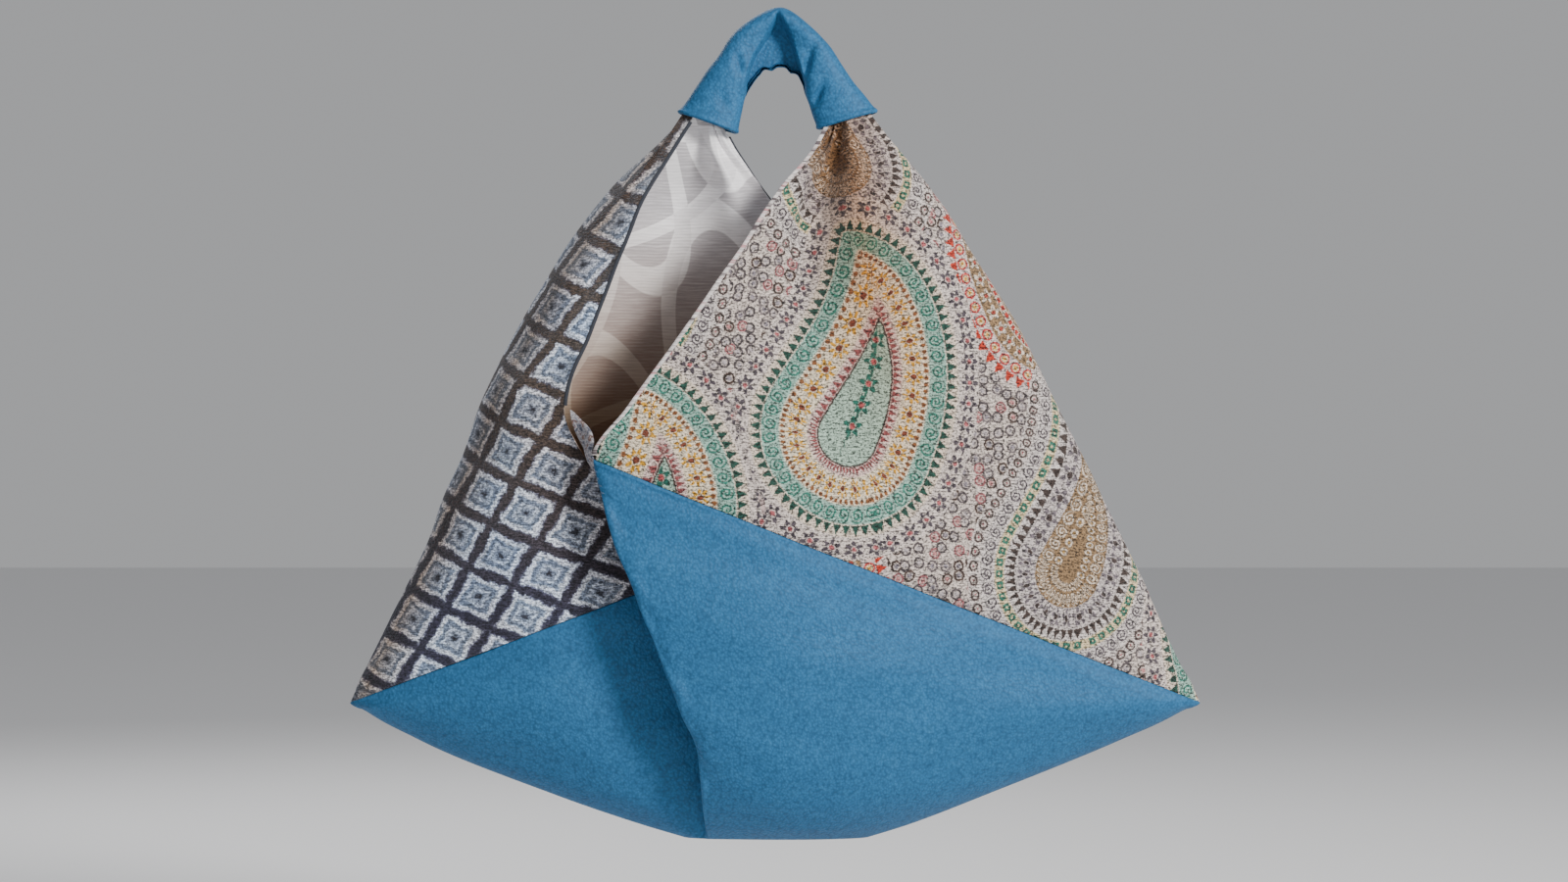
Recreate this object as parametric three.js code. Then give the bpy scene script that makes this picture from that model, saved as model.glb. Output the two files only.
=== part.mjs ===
// A three-square shoulder bag: a soft leather base, two woven peaks that cross over it, a pale lining,
// piping on the left peak's free edges and a leather sleeve over the joined tips, in millimetres, +Z up.
// The front faces -Y. The back is the front turned half a turn about the vertical axis.
// The origin is under the crown of the handle, where a hook or a hand holds the bag.
import * as THREE from "three";
import { mergeVertices } from "three/addons/utils/BufferGeometryUtils.js";

// Driving sizes of the body
const halfWidth = 281; // from the middle to a lower corner
const halfDepth = 84; // from the middle to the front of the belly
const bodyHeight = 478; // from the lowest point to the mouth of the handle sleeve
const tuckHeight = 12; // how far the peaks go up inside the sleeve
const cornerHeight = 90; // of the two lower corners
const valleyHeight = 251; // of the point where the front free edge meets the base
const lipHeight = 284; // of the point where the left peak's free edge starts
const notchBlend = 12; // over which the fold opens below the valley
const tabRise = 4; // of the corner tab above the valley at its low end

// Walls and clearances
const wovenWall = 1.6;
const leatherWall = 1.8;
const liningWall = 1.0;
const layerGap = 0.45; // between a wall and the lining behind it
const seamGap = 0.9; // between two panels that are sewn edge to edge
const leastLevelShare = 0.55; // of a wall's level thickness that slope may take up
const liningInset = 4; // how far the lining stops short of a free edge
const pipingRadius = 1.2;
const frontPipingDrop = 6; // from the sleeve's mouth to the top of the front piping
const backPipingDrop = 16; // and of the back one, which meets the mouth's lower side
const foldRadius = 6.5; // of the flap's front fold
const grooveRadius = 8; // of the hidden fold behind it

// Driving sizes of the handle sleeve
const sleeveRise = 72.5; // from the sleeve's mouth to its crown
const sleeveHalfSpan = 68; // from the middle to the outside of a mouth
const sleeveHalfDepth = 11.6; // of the flattened tube at a mouth
const crownHalfDepth = 13.5; // of the tube at the crown
const dentDepth = 17; // how far the front of the crown is pushed in
const sleeveSlit = 5; // of hollow left between the dent and the back of the sleeve

// Grid steps
const columnStep = 0.25; // along a level's closed path
const peakRows = 15;
const liningRows = 13; // of the same rows, from the seam up
const tabRows = 3;
const bowlRows = 8;
const sleeveSides = 16;
const sleeveSteps = 20;
const pipingSteps = 18;

// Each row is one level cut through the bag. Heights are shares of bodyHeight, x is a share of halfWidth
// and y a share of halfDepth, towards the front. left and right are the two silhouettes; cheek is the middle of
// the left panel; groove is the hidden fold; fold is the flap's front edge; belly and hip lie on the flap.
const levels = [
  { height: 0.0, left: -0.2, cheek: [-0.188, 0.05], groove: [-0.17, 0.08], fold: [-0.15, 0.11], belly: [0.0, 0.16], hip: [0.125, 0.13], right: 0.206 },
  { height: 0.021, left: -0.32, cheek: [-0.245, 0.13], groove: [-0.158, 0.14], fold: [-0.16, 0.29], belly: [0.0, 0.37], hip: [0.16, 0.3], right: 0.32 },
  { height: 0.063, left: -0.527, cheek: [-0.35, 0.28], groove: [-0.142, 0.25], fold: [-0.165, 0.52], belly: [0.0, 0.61], hip: [0.249, 0.45], right: 0.505 },
  { height: 0.126, left: -0.8, cheek: [-0.456, 0.41], groove: [-0.117, 0.31], fold: [-0.18, 0.72], belly: [0.018, 0.79], hip: [0.356, 0.55], right: 0.769 },
  { height: 0.188, left: -1.0, cheek: [-0.534, 0.49], groove: [-0.11, 0.34], fold: [-0.212, 0.86], belly: [0.018, 0.91], hip: [0.445, 0.59], right: 1.0 },
  { height: 0.262, left: -0.94, cheek: [-0.562, 0.54], groove: [-0.135, 0.38], fold: [-0.262, 0.94], belly: [0.018, 0.98], hip: [0.463, 0.6], right: 0.936 },
  { height: 0.343, left: -0.872, cheek: [-0.577, 0.58], groove: [-0.192, 0.44], fold: [-0.318, 0.98], belly: [0.0, 1.0], hip: [0.445, 0.6], right: 0.875 },
  { height: 0.418, left: -0.811, cheek: [-0.587, 0.6], groove: [-0.27, 0.51], fold: [-0.363, 0.96], belly: [-0.018, 0.96], hip: [0.42, 0.56], right: 0.815 },
  { height: 0.481, left: -0.772, cheek: [-0.598, 0.58], groove: [-0.36, 0.57], fold: [-0.396, 0.93], belly: [-0.036, 0.91], hip: [0.391, 0.52], right: 0.762 },
  { height: 0.525, left: -0.737, cheek: [-0.605, 0.55], groove: [-0.431, 0.62], fold: [-0.416, 0.89], belly: [-0.043, 0.84], hip: [0.37, 0.48], right: 0.726 },
  { height: 0.594, left: -0.694, cheek: [-0.605, 0.5], groove: [-0.48, 0.64], fold: [-0.338, 0.82], belly: [-0.043, 0.7], hip: [0.335, 0.43], right: 0.665 },
  { height: 0.69, left: -0.616, cheek: [-0.545, 0.45], groove: [-0.427, 0.59], fold: [-0.221, 0.7], belly: [-0.007, 0.53], hip: [0.292, 0.38], right: 0.584 },
  { height: 0.795, left: -0.512, cheek: [-0.456, 0.37], groove: [-0.36, 0.49], fold: [-0.1, 0.57], belly: [0.036, 0.34], hip: [0.256, 0.33], right: 0.477 },
  { height: 0.9, left: -0.384, cheek: [-0.342, 0.24], groove: [-0.285, 0.33], fold: [0.021, 0.38], belly: [0.089, 0.15], hip: [0.221, 0.26], right: 0.363 },
  { height: 0.965, left: -0.268, cheek: [-0.25, 0.09], groove: [-0.22, 0.12], fold: [0.1, 0.12], belly: [0.139, 0.03], hip: [0.187, 0.12], right: 0.274 },
  { height: 1.0, left: -0.212, cheek: [-0.207, 0.04], groove: [-0.182, 0.06], fold: [0.124, 0.055], belly: [0.146, 0.01], hip: [0.178, 0.07], right: 0.228 },
  { height: 1.03, left: -0.172, cheek: [-0.163, 0.03], groove: [-0.146, 0.045], fold: [0.11, 0.04], belly: [0.125, 0.01], hip: [0.15, 0.05], right: 0.192 },
];

// Each row is one cut across the sleeve, from the left mouth over the crown to the right mouth. x is a share of
// sleeveHalfSpan and z a share of sleeveRise above the mouths; dent is a share of dentDepth.
const sleeveCuts = [
  { outerX: -0.95, outerZ: 0.035, innerX: -0.368, innerZ: -0.16, dent: 0.0 },
  { outerX: -0.779, outerZ: 0.26, innerX: -0.309, innerZ: 0.11, dent: 0.0 },
  { outerX: -0.574, outerZ: 0.54, innerX: -0.2, innerZ: 0.34, dent: 0.12 },
  { outerX: -0.34, outerZ: 0.82, innerX: -0.08, innerZ: 0.43, dent: 0.6 },
  { outerX: 0.03, outerZ: 1.0, innerX: 0.04, innerZ: 0.455, dent: 1.0 },
  { outerX: 0.382, outerZ: 0.8, innerX: 0.162, innerZ: 0.42, dent: 0.55 },
  { outerX: 0.588, outerZ: 0.57, innerX: 0.265, innerZ: 0.3, dent: 0.2 },
  { outerX: 0.779, outerZ: 0.3, innerX: 0.324, innerZ: 0.12, dent: 0.1 },
  { outerX: 1.01, outerZ: 0.045, innerX: 0.42, innerZ: -0.12, dent: 0.0 },
];

// Places along one level's closed path, counted in control points
const leftSide = 0;
const grooveAt = 3;
const foldAt = 6;
const rightSide = 10;
const ringLength = 20;
const grooveBehind = grooveAt + rightSide;
const foldBehind = foldAt + rightSide;
const edgeStep = columnStep; // keeps a corner tab and the panels beside it apart

const crownUnderside = bodyHeight + sleeveRise * sleeveCuts[4].innerZ;
const seamSlopeLeft = 0.3834; // rise over run of the base's left seam, as sewn
const seamSlopeRight = (valleyHeight - cornerHeight) / (halfWidth * (1 + 0.416));

// Slope at each sample, limited so that the curve never overshoots; a break keeps a corner sharp.
function slopesOf(at, value, breaks) {
  const step = (i) => (value[i + 1] - value[i]) / (at[i + 1] - at[i]);
  const last = at.length - 1;
  return at.map((_, i) => {
    if (i === 0) return { before: step(0), after: step(0) };
    if (i === last) return { before: step(last - 1), after: step(last - 1) };
    if (breaks.includes(i)) return { before: step(i - 1), after: step(i) };
    const [a, b] = [step(i - 1), step(i)];
    const mean = a * b > 0 ? (2 * a * b) / (a + b) : 0;
    return { before: mean, after: mean };
  });
}

function curveThrough(at, value, breaks = []) {
  const slopes = slopesOf(at, value, breaks);
  return (x) => {
    let i = 0;
    while (i < at.length - 2 && x > at[i + 1]) i += 1;
    const span = at[i + 1] - at[i];
    const t = (x - at[i]) / span;
    const [t2, t3] = [t * t, t * t * t];
    return (
      (2 * t3 - 3 * t2 + 1) * value[i] +
      (t3 - 2 * t2 + t) * span * slopes[i].after +
      (3 * t2 - 2 * t3) * value[i + 1] +
      (t3 - t2) * span * slopes[i + 1].before
    );
  };
}

const heights = levels.map((row) => row.height * bodyHeight);
const cornerRow = 4;
const alongHeight = (pick, breaks) => curveThrough(heights, levels.map(pick), breaks);
const xOf = (name) => alongHeight((row) => row[name][0] * halfWidth);
const yOf = (name) => alongHeight((row) => -row[name][1] * halfDepth);
const leftOf = alongHeight((row) => row.left * halfWidth, [cornerRow]);
const rightOf = alongHeight((row) => row.right * halfWidth, [cornerRow]);
const trackX = Object.fromEntries(["cheek", "groove", "fold", "belly", "hip"].map((n) => [n, xOf(n)]));
const trackY = Object.fromEntries(["cheek", "groove", "fold", "belly", "hip"].map((n) => [n, yOf(n)]));

const mix = (a, b, t) => a + (b - a) * t;
const smooth = (x, low, high) => {
  const t = Math.min(1, Math.max(0, (x - low) / (high - low)));
  return t * t * (3 - 2 * t);
};

// The front's ten control points at one height, from the left silhouette to just before the right one.
function frontPoints(z) {
  const at = (name) => new THREE.Vector2(trackX[name](z), trackY[name](z));
  const [cheek, groove, fold, belly, hip] = ["cheek", "groove", "fold", "belly", "hip"].map(at);
  const shrink = smooth(z, 0, cornerHeight * 0.7);
  const closed = 1 - smooth(z, valleyHeight - notchBlend, lipHeight);
  const reach = grooveRadius * shrink;
  const curl = foldRadius * shrink;
  const inward = groove.clone().sub(cheek).normalize();
  const back = fold.clone().sub(groove).normalize();
  const along = belly.clone().sub(fold).normalize();
  const beforeGroove = groove.clone().addScaledVector(inward, -reach * 1.4);
  const afterGroove = groove.clone().addScaledVector(back, reach * 1.2);
  const behindFold = fold.clone().addScaledVector(back, -curl * 1.3);
  behindFold.x += curl * 0.35 * closed;
  const openBack = fold.clone().addScaledVector(along, -curl);
  behindFold.lerp(openBack, 1 - closed);
  const aheadOfFold = fold.clone().addScaledVector(along, curl * 1.3);
  aheadOfFold.y -= curl * 0.35 * closed;
  return [cheek, beforeGroove, groove, afterGroove, behindFold, fold, aheadOfFold, belly, hip];
}

// All control points of the level's closed path: left side, front, right side, back.
function levelPoints(z) {
  const front = frontPoints(z);
  const back = front.map((p) => new THREE.Vector2(-p.x, -p.y));
  return [new THREE.Vector2(leftOf(z), 0), ...front, new THREE.Vector2(rightOf(z), 0), ...back];
}

// Point on the closed path at place w, as a centripetal spline through the control points.
function onLevel(points, w) {
  const n = points.length;
  const i = Math.floor(w);
  const p = [-1, 0, 1, 2].map((k) => points[(((i + k) % n) + n) % n]);
  const knots = [0];
  for (let k = 1; k < 4; k += 1) knots.push(knots[k - 1] + Math.max(0.05, Math.sqrt(p[k].distanceTo(p[k - 1]))));
  const t = mix(knots[1], knots[2], w - i);
  const blend = (a, b, ta, tb) => a.clone().lerp(b, (t - ta) / (tb - ta));
  const a = [0, 1, 2].map((k) => blend(p[k], p[k + 1], knots[k], knots[k + 1]));
  const b = [0, 1].map((k) => blend(a[k], a[k + 1], knots[k], knots[k + 2]));
  return blend(b[0], b[1], knots[1], knots[2]);
}

function surface(w, z) {
  const p = onLevel(levelPoints(z), w);
  return new THREE.Vector3(p.x, p.y, z);
}

// The surface moved level by a distance, so that sewn panels meet; a negative one moves it inwards.
// On a sloping wall the level distance grows, so that the wall keeps most of its thickness.
function offsetSurface(w, z, distance) {
  const [dw, dz] = [0.02, 0.4];
  const low = Math.max(0, z - dz);
  const across = surface(w + dw, z).sub(surface(w - dw, z));
  const up = surface(w, z + dz).sub(surface(w, low));
  const level = Math.max(leastLevelShare, Math.hypot(...across.clone().cross(up).normalize().toArray().slice(0, 2)));
  const out = new THREE.Vector3(across.y, -across.x, 0).normalize();
  return surface(w, z).addScaledVector(out, distance / level);
}

// Height of the base's upper edge at place w. Both seams run straight in the front view.
function seamHeight(w) {
  const v = ((w % rightSide) + rightSide) % rightSide;
  const turned = Math.floor(w / rightSide) % 2 === 0 ? 1 : -1;
  const xAt = (z) => surface(w, z).x * turned;
  const settle = (line) => {
    let z = valleyHeight * 0.6;
    for (let k = 0; k < 40; k += 1) z = mix(z, line(xAt(z)), 0.5);
    return z;
  };
  const leftLine = (x) => cornerHeight + (x + halfWidth) * seamSlopeLeft;
  const rightLine = (x) => valleyHeight - (x - trackX.fold(valleyHeight)) * seamSlopeRight;
  if (v < 0.001) return cornerHeight;
  if (v <= grooveAt) return settle(leftLine);
  if (v < foldAt) return mix(grooveSeam, valleyHeight - tabRise / 2, smooth(v, grooveAt + 2 * edgeStep, foldAt));
  return Math.min(valleyHeight, settle(rightLine));
}
const grooveSeam = seamHeight(grooveAt);
const rimHeight = (v) => mix(lipHeight, valleyHeight + tabRise, smooth(v, grooveAt, foldAt));

// A closed wall from two grids of points, outer[i][j] and inner[i][j]; ring joins the last column to the first.
function wallBetween(outer, inner, ring = false, capped = false) {
  const [columns, rows] = [outer.length, outer[0].length];
  const position = [];
  for (const grid of [outer, inner]) for (const column of grid) for (const p of column) position.push(p.x, p.y, p.z);
  const faces = [];
  const id = (side, i, j) => side * columns * rows + (i % columns) * rows + j;
  const quad = (a, b, c, d) => faces.push(a, b, c, a, c, d);
  const spans = ring ? columns : columns - 1;
  for (let i = 0; i < spans; i += 1) {
    for (let j = 0; j < rows - 1; j += 1) {
      quad(id(0, i, j), id(0, i + 1, j), id(0, i + 1, j + 1), id(0, i, j + 1));
      quad(id(1, i, j), id(1, i, j + 1), id(1, i + 1, j + 1), id(1, i + 1, j));
    }
    quad(id(0, i, rows - 1), id(0, i + 1, rows - 1), id(1, i + 1, rows - 1), id(1, i, rows - 1));
    if (!capped) quad(id(0, i, 0), id(1, i, 0), id(1, i + 1, 0), id(0, i + 1, 0));
  }
  if (!ring) {
    for (let j = 0; j < rows - 1; j += 1) {
      quad(id(0, 0, j), id(0, 0, j + 1), id(1, 0, j + 1), id(1, 0, j));
      const e = columns - 1;
      quad(id(0, e, j), id(1, e, j), id(1, e, j + 1), id(0, e, j + 1));
    }
  }
  if (capped) {
    const loop = outer.map((column) => new THREE.Vector2(column[0].x, column[0].y));
    for (const [a, b, c] of THREE.ShapeUtils.triangulateShape(loop, [])) {
      faces.push(id(0, a, 0), id(0, c, 0), id(0, b, 0));
      faces.push(id(1, a, 0), id(1, b, 0), id(1, c, 0));
    }
  }
  const geometry = new THREE.BufferGeometry();
  geometry.setAttribute("position", new THREE.Float32BufferAttribute(position, 3));
  geometry.setIndex(faces);
  geometry.computeVertexNormals();
  return geometry;
}

// Both ends and every whole step between them, so that sewn panels share their columns.
function columnsBetween(from, to) {
  const places = [from];
  for (let k = Math.floor(from / columnStep) + 1; k * columnStep < to - 0.02; k += 1) places.push(k * columnStep);
  return [...places, to];
}

// A wall between two places of the path, from one height curve to another.
function panel({ from, to, rows, rowsMade = rows, bottom, top, outside, inside }) {
  const grid = (distance) =>
    columnsBetween(from, to).map((w) => {
      const [low, high] = [bottom(w), top(w)];
      return Array.from({ length: rowsMade + 1 }, (_, j) => offsetSurface(w, mix(low, high, j / rows), distance));
    });
  return wallBetween(grid(outside), grid(inside));
}

// The base is a bowl: a closed ring of columns whose lowest row is capped.
function bowl({ top, outside, inside, floor, rows }) {
  const grid = (distance, rise) =>
    Array.from({ length: ringLength / columnStep }, (_, i) => {
      const w = i * columnStep;
      const high = top(w);
      return Array.from({ length: rows + 1 }, (_, j) => {
        const share = (j / rows) ** 1.5;
        const p = offsetSurface(w, mix(0, high, share), distance);
        p.z = Math.max(p.z, rise);
        return p;
      });
    });
  return wallBetween(grid(outside, 0), grid(inside, floor), true, true);
}

const wovenOutside = wovenWall / 2;
const leatherOutside = leatherWall / 2;
const liningOutside = -(leatherWall / 2 + layerGap);
const liningInside = liningOutside - liningWall;

const peakTop = () => bodyHeight + tuckHeight;
const overSeam = (w) => seamHeight(w) + seamGap / 2;
const underSeam = (w) => seamHeight(w) - seamGap / 2;

const peakPanel = (from, to) =>
  panel({
    from: from + edgeStep,
    to: to - edgeStep,
    rows: peakRows,
    bottom: overSeam,
    top: peakTop,
    outside: wovenOutside,
    inside: -wovenOutside,
  });

const peakLining = (from, to) =>
  panel({
    from: from + 0.25,
    to: to - 0.25,
    rows: peakRows,
    rowsMade: liningRows,
    bottom: overSeam,
    top: peakTop,
    outside: liningOutside,
    inside: liningInside,
  });

const cornerTab = (turn) =>
  panel({
    from: grooveAt + turn + 2 * edgeStep,
    to: foldAt + turn - edgeStep,
    rows: tabRows,
    bottom: (w) => overSeam(w) + seamGap,
    top: (w) => rimHeight(w - turn),
    outside: wovenOutside,
    inside: -wovenOutside,
  });

const basePanel = () =>
  bowl({
    top: underSeam,
    outside: leatherOutside,
    inside: -leatherOutside,
    floor: leatherWall,
    rows: bowlRows,
  });

// Piping along a free edge of the left peak: a thin cord just past the panel's edge.
function piping(place, direction, end) {
  const clear = pipingRadius + seamGap * 1.2;
  const points = [];
  const steps = pipingSteps - 2;
  for (let k = 0; k <= steps; k += 1) {
    const z = mix(lipHeight + seamGap * 3, end, k / steps);
    const onEdge = surface(place, z);
    const away = surface(place + 0.05 * direction, z).sub(onEdge).normalize();
    points.push(onEdge.addScaledVector(away, clear));
  }
  const path = new THREE.CatmullRomCurve3(points);
  const section = new THREE.Shape();
  section.absarc(0, 0, pipingRadius, 0, Math.PI * 2);
  const cord = new THREE.ExtrudeGeometry(section, { steps: pipingSteps, curveSegments: 4, extrudePath: path });
  cord.deleteAttribute("normal");
  cord.deleteAttribute("uv");
  return mergeVertices(cord, 1e-3);
}

// The leather sleeve: a flattened tube over the crown, dented at the front where it hangs.
function handleSleeve() {
  const at = sleeveCuts.map((_, i) => i);
  const share = (name, size) => curveThrough(at, sleeveCuts.map((cut) => cut[name] * size));
  const outerX = share("outerX", sleeveHalfSpan);
  const outerZ = share("outerZ", sleeveRise);
  const innerX = share("innerX", sleeveHalfSpan);
  const innerZ = share("innerZ", sleeveRise);
  const dent = share("dent", dentDepth);
  const last = sleeveCuts.length - 1;
  const ringAt = (s, shrink) => {
    const outer = new THREE.Vector3(outerX(s), 0, bodyHeight + outerZ(s));
    const inner = new THREE.Vector3(innerX(s), 0, bodyHeight + innerZ(s));
    const middle = outer.clone().lerp(inner, 0.5);
    const half = outer.clone().sub(inner).multiplyScalar(0.5);
    const halfLength = half.length();
    half.normalize();
    const nearCrown = Math.sin((Math.PI * s) / last) ** 2;
    const depth = mix(sleeveHalfDepth, crownHalfDepth, nearCrown);
    return Array.from({ length: sleeveSides }, (_, k) => {
      const turn = (2 * Math.PI * k) / sleeveSides;
      const [c, sn] = [Math.cos(turn), Math.sin(turn)];
      const round = Math.sign(sn) * Math.abs(sn) ** 0.85;
      const p = middle.clone().addScaledVector(half, c * (halfLength - shrink));
      p.y = -round * (depth - shrink);
      // The dent takes the front of the section, apart from a strip along its outer side.
      const front = Math.max(0, sn) * smooth(-c, -0.9, 0.1);
      if (front > 0) p.y += Math.min(dent(s) * front, depth - p.y - leatherWall - sleeveSlit - shrink);
      return p;
    });
  };
  const grid = (shrink) => Array.from({ length: sleeveSteps + 1 }, (_, i) => ringAt((last * i) / sleeveSteps, shrink));
  const [outer, inner] = [grid(0), grid(leatherWall)];
  const turned = (g) => Array.from({ length: sleeveSides }, (_, k) => g.map((ring) => ring[k]));
  return wallBetween(turned(outer), turned(inner), true);
}

const wovenSquares = new THREE.MeshStandardMaterial({ color: 0x8f95a3, roughness: 0.9, metalness: 0 });
const wovenPaisley = new THREE.MeshStandardMaterial({ color: 0xb9aca4, roughness: 0.9, metalness: 0 });
const blueLeather = new THREE.MeshStandardMaterial({ color: 0x3f7fb0, roughness: 0.65, metalness: 0 });
const paleLining = new THREE.MeshStandardMaterial({ color: 0xc9c5c4, roughness: 0.55, metalness: 0 });
const darkPiping = new THREE.MeshStandardMaterial({ color: 0x1c1f26, roughness: 0.7, metalness: 0 });

const bag = new THREE.Group();
const place = (name, geometry, material) => {
  const mesh = new THREE.Mesh(geometry, material);
  mesh.name = name;
  bag.add(mesh);
};

place("base_panel", basePanel(), blueLeather);
place("right_peak_panel", peakPanel(foldAt, grooveBehind), wovenPaisley);
place("left_peak_panel", peakPanel(foldBehind, ringLength + grooveAt), wovenSquares);
place("front_corner_tab", cornerTab(leftSide), wovenPaisley);
place("back_corner_tab", cornerTab(rightSide), wovenSquares);
place("right_peak_lining", peakLining(foldAt, grooveBehind), paleLining);
place("left_peak_lining", peakLining(foldBehind, ringLength + grooveAt), paleLining);
place("front_piping", piping(grooveAt - edgeStep, 1, bodyHeight - frontPipingDrop), darkPiping);
place("back_piping", piping(foldBehind + edgeStep, -1, bodyHeight - backPipingDrop), darkPiping);
place("handle_sleeve", handleSleeve(), blueLeather);
bag.position.z = -crownUnderside;

export default bag;
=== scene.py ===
# Looks of the three-square bag: leather base, two woven peaks, lining, piping and handle sleeve
import math

import bpy
import numpy as np
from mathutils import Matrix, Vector


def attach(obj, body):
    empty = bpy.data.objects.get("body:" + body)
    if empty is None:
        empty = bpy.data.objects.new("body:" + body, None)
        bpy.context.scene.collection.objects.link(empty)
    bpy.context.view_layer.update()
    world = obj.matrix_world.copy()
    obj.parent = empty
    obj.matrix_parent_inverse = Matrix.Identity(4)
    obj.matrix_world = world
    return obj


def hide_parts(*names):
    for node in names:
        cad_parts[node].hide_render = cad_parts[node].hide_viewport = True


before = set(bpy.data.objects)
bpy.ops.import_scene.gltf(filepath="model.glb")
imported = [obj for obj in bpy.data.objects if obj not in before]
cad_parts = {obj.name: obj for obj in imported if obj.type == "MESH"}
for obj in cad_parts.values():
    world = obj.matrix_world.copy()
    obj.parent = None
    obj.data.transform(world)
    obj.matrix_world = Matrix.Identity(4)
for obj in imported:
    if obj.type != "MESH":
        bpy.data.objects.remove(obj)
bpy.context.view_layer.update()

# Body form, in millimetres from the bag's lowest point, as the solids have it
bagForm = {
    "halfWidth": 281.0,
    "halfDepth": 84.0,
    "bodyHeight": 478.0,
    "cornerHeight": 90.0,
    "valleyHeight": 251.0,
    "lipHeight": 284.0,
    "notchBlend": 12.0,
    "tabRise": 4.0,
    "foldRadius": 6.5,
    "grooveRadius": 8.0,
    "seamSlopeLeft": 0.3834,
    "grooveAt": 3.0,  # places along a level's closed path, from its left end on
    "foldAt": 6.0,
    "rightSide": 10.0,
    "ringLength": 20,
}
# each level's height, its two ends, and the points between them as (x, y), in shares of the form's size
levelColumns = ("height", "left", "cheek", "groove", "fold", "belly", "hip", "right")
levelRows = [dict(zip(levelColumns, row)) for row in [
    (0.0, -0.2, (-0.188, 0.05), (-0.17, 0.08), (-0.15, 0.11), (0.0, 0.16), (0.125, 0.13), 0.206),
    (0.021, -0.32, (-0.245, 0.13), (-0.158, 0.14), (-0.16, 0.29), (0.0, 0.37), (0.16, 0.3), 0.32),
    (0.063, -0.527, (-0.35, 0.28), (-0.142, 0.25), (-0.165, 0.52), (0.0, 0.61), (0.249, 0.45), 0.505),
    (0.126, -0.8, (-0.456, 0.41), (-0.117, 0.31), (-0.18, 0.72), (0.018, 0.79), (0.356, 0.55), 0.769),
    (0.188, -1.0, (-0.534, 0.49), (-0.11, 0.34), (-0.212, 0.86), (0.018, 0.91), (0.445, 0.59), 1.0),
    (0.262, -0.94, (-0.562, 0.54), (-0.135, 0.38), (-0.262, 0.94), (0.018, 0.98), (0.463, 0.6), 0.936),
    (0.343, -0.872, (-0.577, 0.58), (-0.192, 0.44), (-0.318, 0.98), (0.0, 1.0), (0.445, 0.6), 0.875),
    (0.418, -0.811, (-0.587, 0.6), (-0.27, 0.51), (-0.363, 0.96), (-0.018, 0.96), (0.42, 0.56), 0.815),
    (0.481, -0.772, (-0.598, 0.58), (-0.36, 0.57), (-0.396, 0.93), (-0.036, 0.91), (0.391, 0.52), 0.762),
    (0.525, -0.737, (-0.605, 0.55), (-0.431, 0.62), (-0.416, 0.89), (-0.043, 0.84), (0.37, 0.48), 0.726),
    (0.594, -0.694, (-0.605, 0.5), (-0.48, 0.64), (-0.338, 0.82), (-0.043, 0.7), (0.335, 0.43), 0.665),
    (0.69, -0.616, (-0.545, 0.45), (-0.427, 0.59), (-0.221, 0.7), (-0.007, 0.53), (0.292, 0.38), 0.584),
    (0.795, -0.512, (-0.456, 0.37), (-0.36, 0.49), (-0.1, 0.57), (0.036, 0.34), (0.256, 0.33), 0.477),
    (0.9, -0.384, (-0.342, 0.24), (-0.285, 0.33), (0.021, 0.38), (0.089, 0.15), (0.221, 0.26), 0.363),
    (0.965, -0.268, (-0.25, 0.09), (-0.22, 0.12), (0.1, 0.12), (0.139, 0.03), (0.187, 0.12), 0.274),
    (1.0, -0.212, (-0.207, 0.04), (-0.182, 0.06), (0.124, 0.055), (0.146, 0.01), (0.178, 0.07), 0.228),
    (1.03, -0.172, (-0.163, 0.03), (-0.146, 0.045), (0.11, 0.04), (0.125, 0.01), (0.15, 0.05), 0.192),
]]
cornerRow = 4

# Handle sleeve, from the left mouth over the crown to the right mouth
sleeveForm = {
    "rise": 72.5,
    "halfSpan": 68.0,
    "halfDepth": 11.6,
    "crownHalfDepth": 13.5,
    "dentDepth": 17.0,
    "wall": 1.8,
    "slit": 5.0,
}
sleeveColumns = ("outerX", "outerZ", "innerX", "innerZ", "dent")
sleeveRows = [dict(zip(sleeveColumns, row)) for row in [
    (-0.95, 0.035, -0.368, -0.16, 0.0),
    (-0.779, 0.26, -0.309, 0.11, 0.0),
    (-0.574, 0.54, -0.2, 0.34, 0.12),
    (-0.34, 0.82, -0.08, 0.43, 0.6),
    (0.03, 1.0, 0.04, 0.455, 1.0),
    (0.382, 0.8, 0.162, 0.42, 0.55),
    (0.588, 0.57, 0.265, 0.3, 0.2),
    (0.779, 0.3, 0.324, 0.12, 0.1),
    (1.01, 0.045, 0.42, -0.12, 0.0),
]]
crownUnderside = bagForm["bodyHeight"] + sleeveForm["rise"] * sleeveRows[4]["innerZ"]


def mix(a, b, t):
    return a + (b - a) * t


def smooth(x, low, high):
    t = np.clip((np.asarray(x, float) - low) / (high - low), 0.0, 1.0)
    return t * t * (3 - 2 * t)


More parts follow.
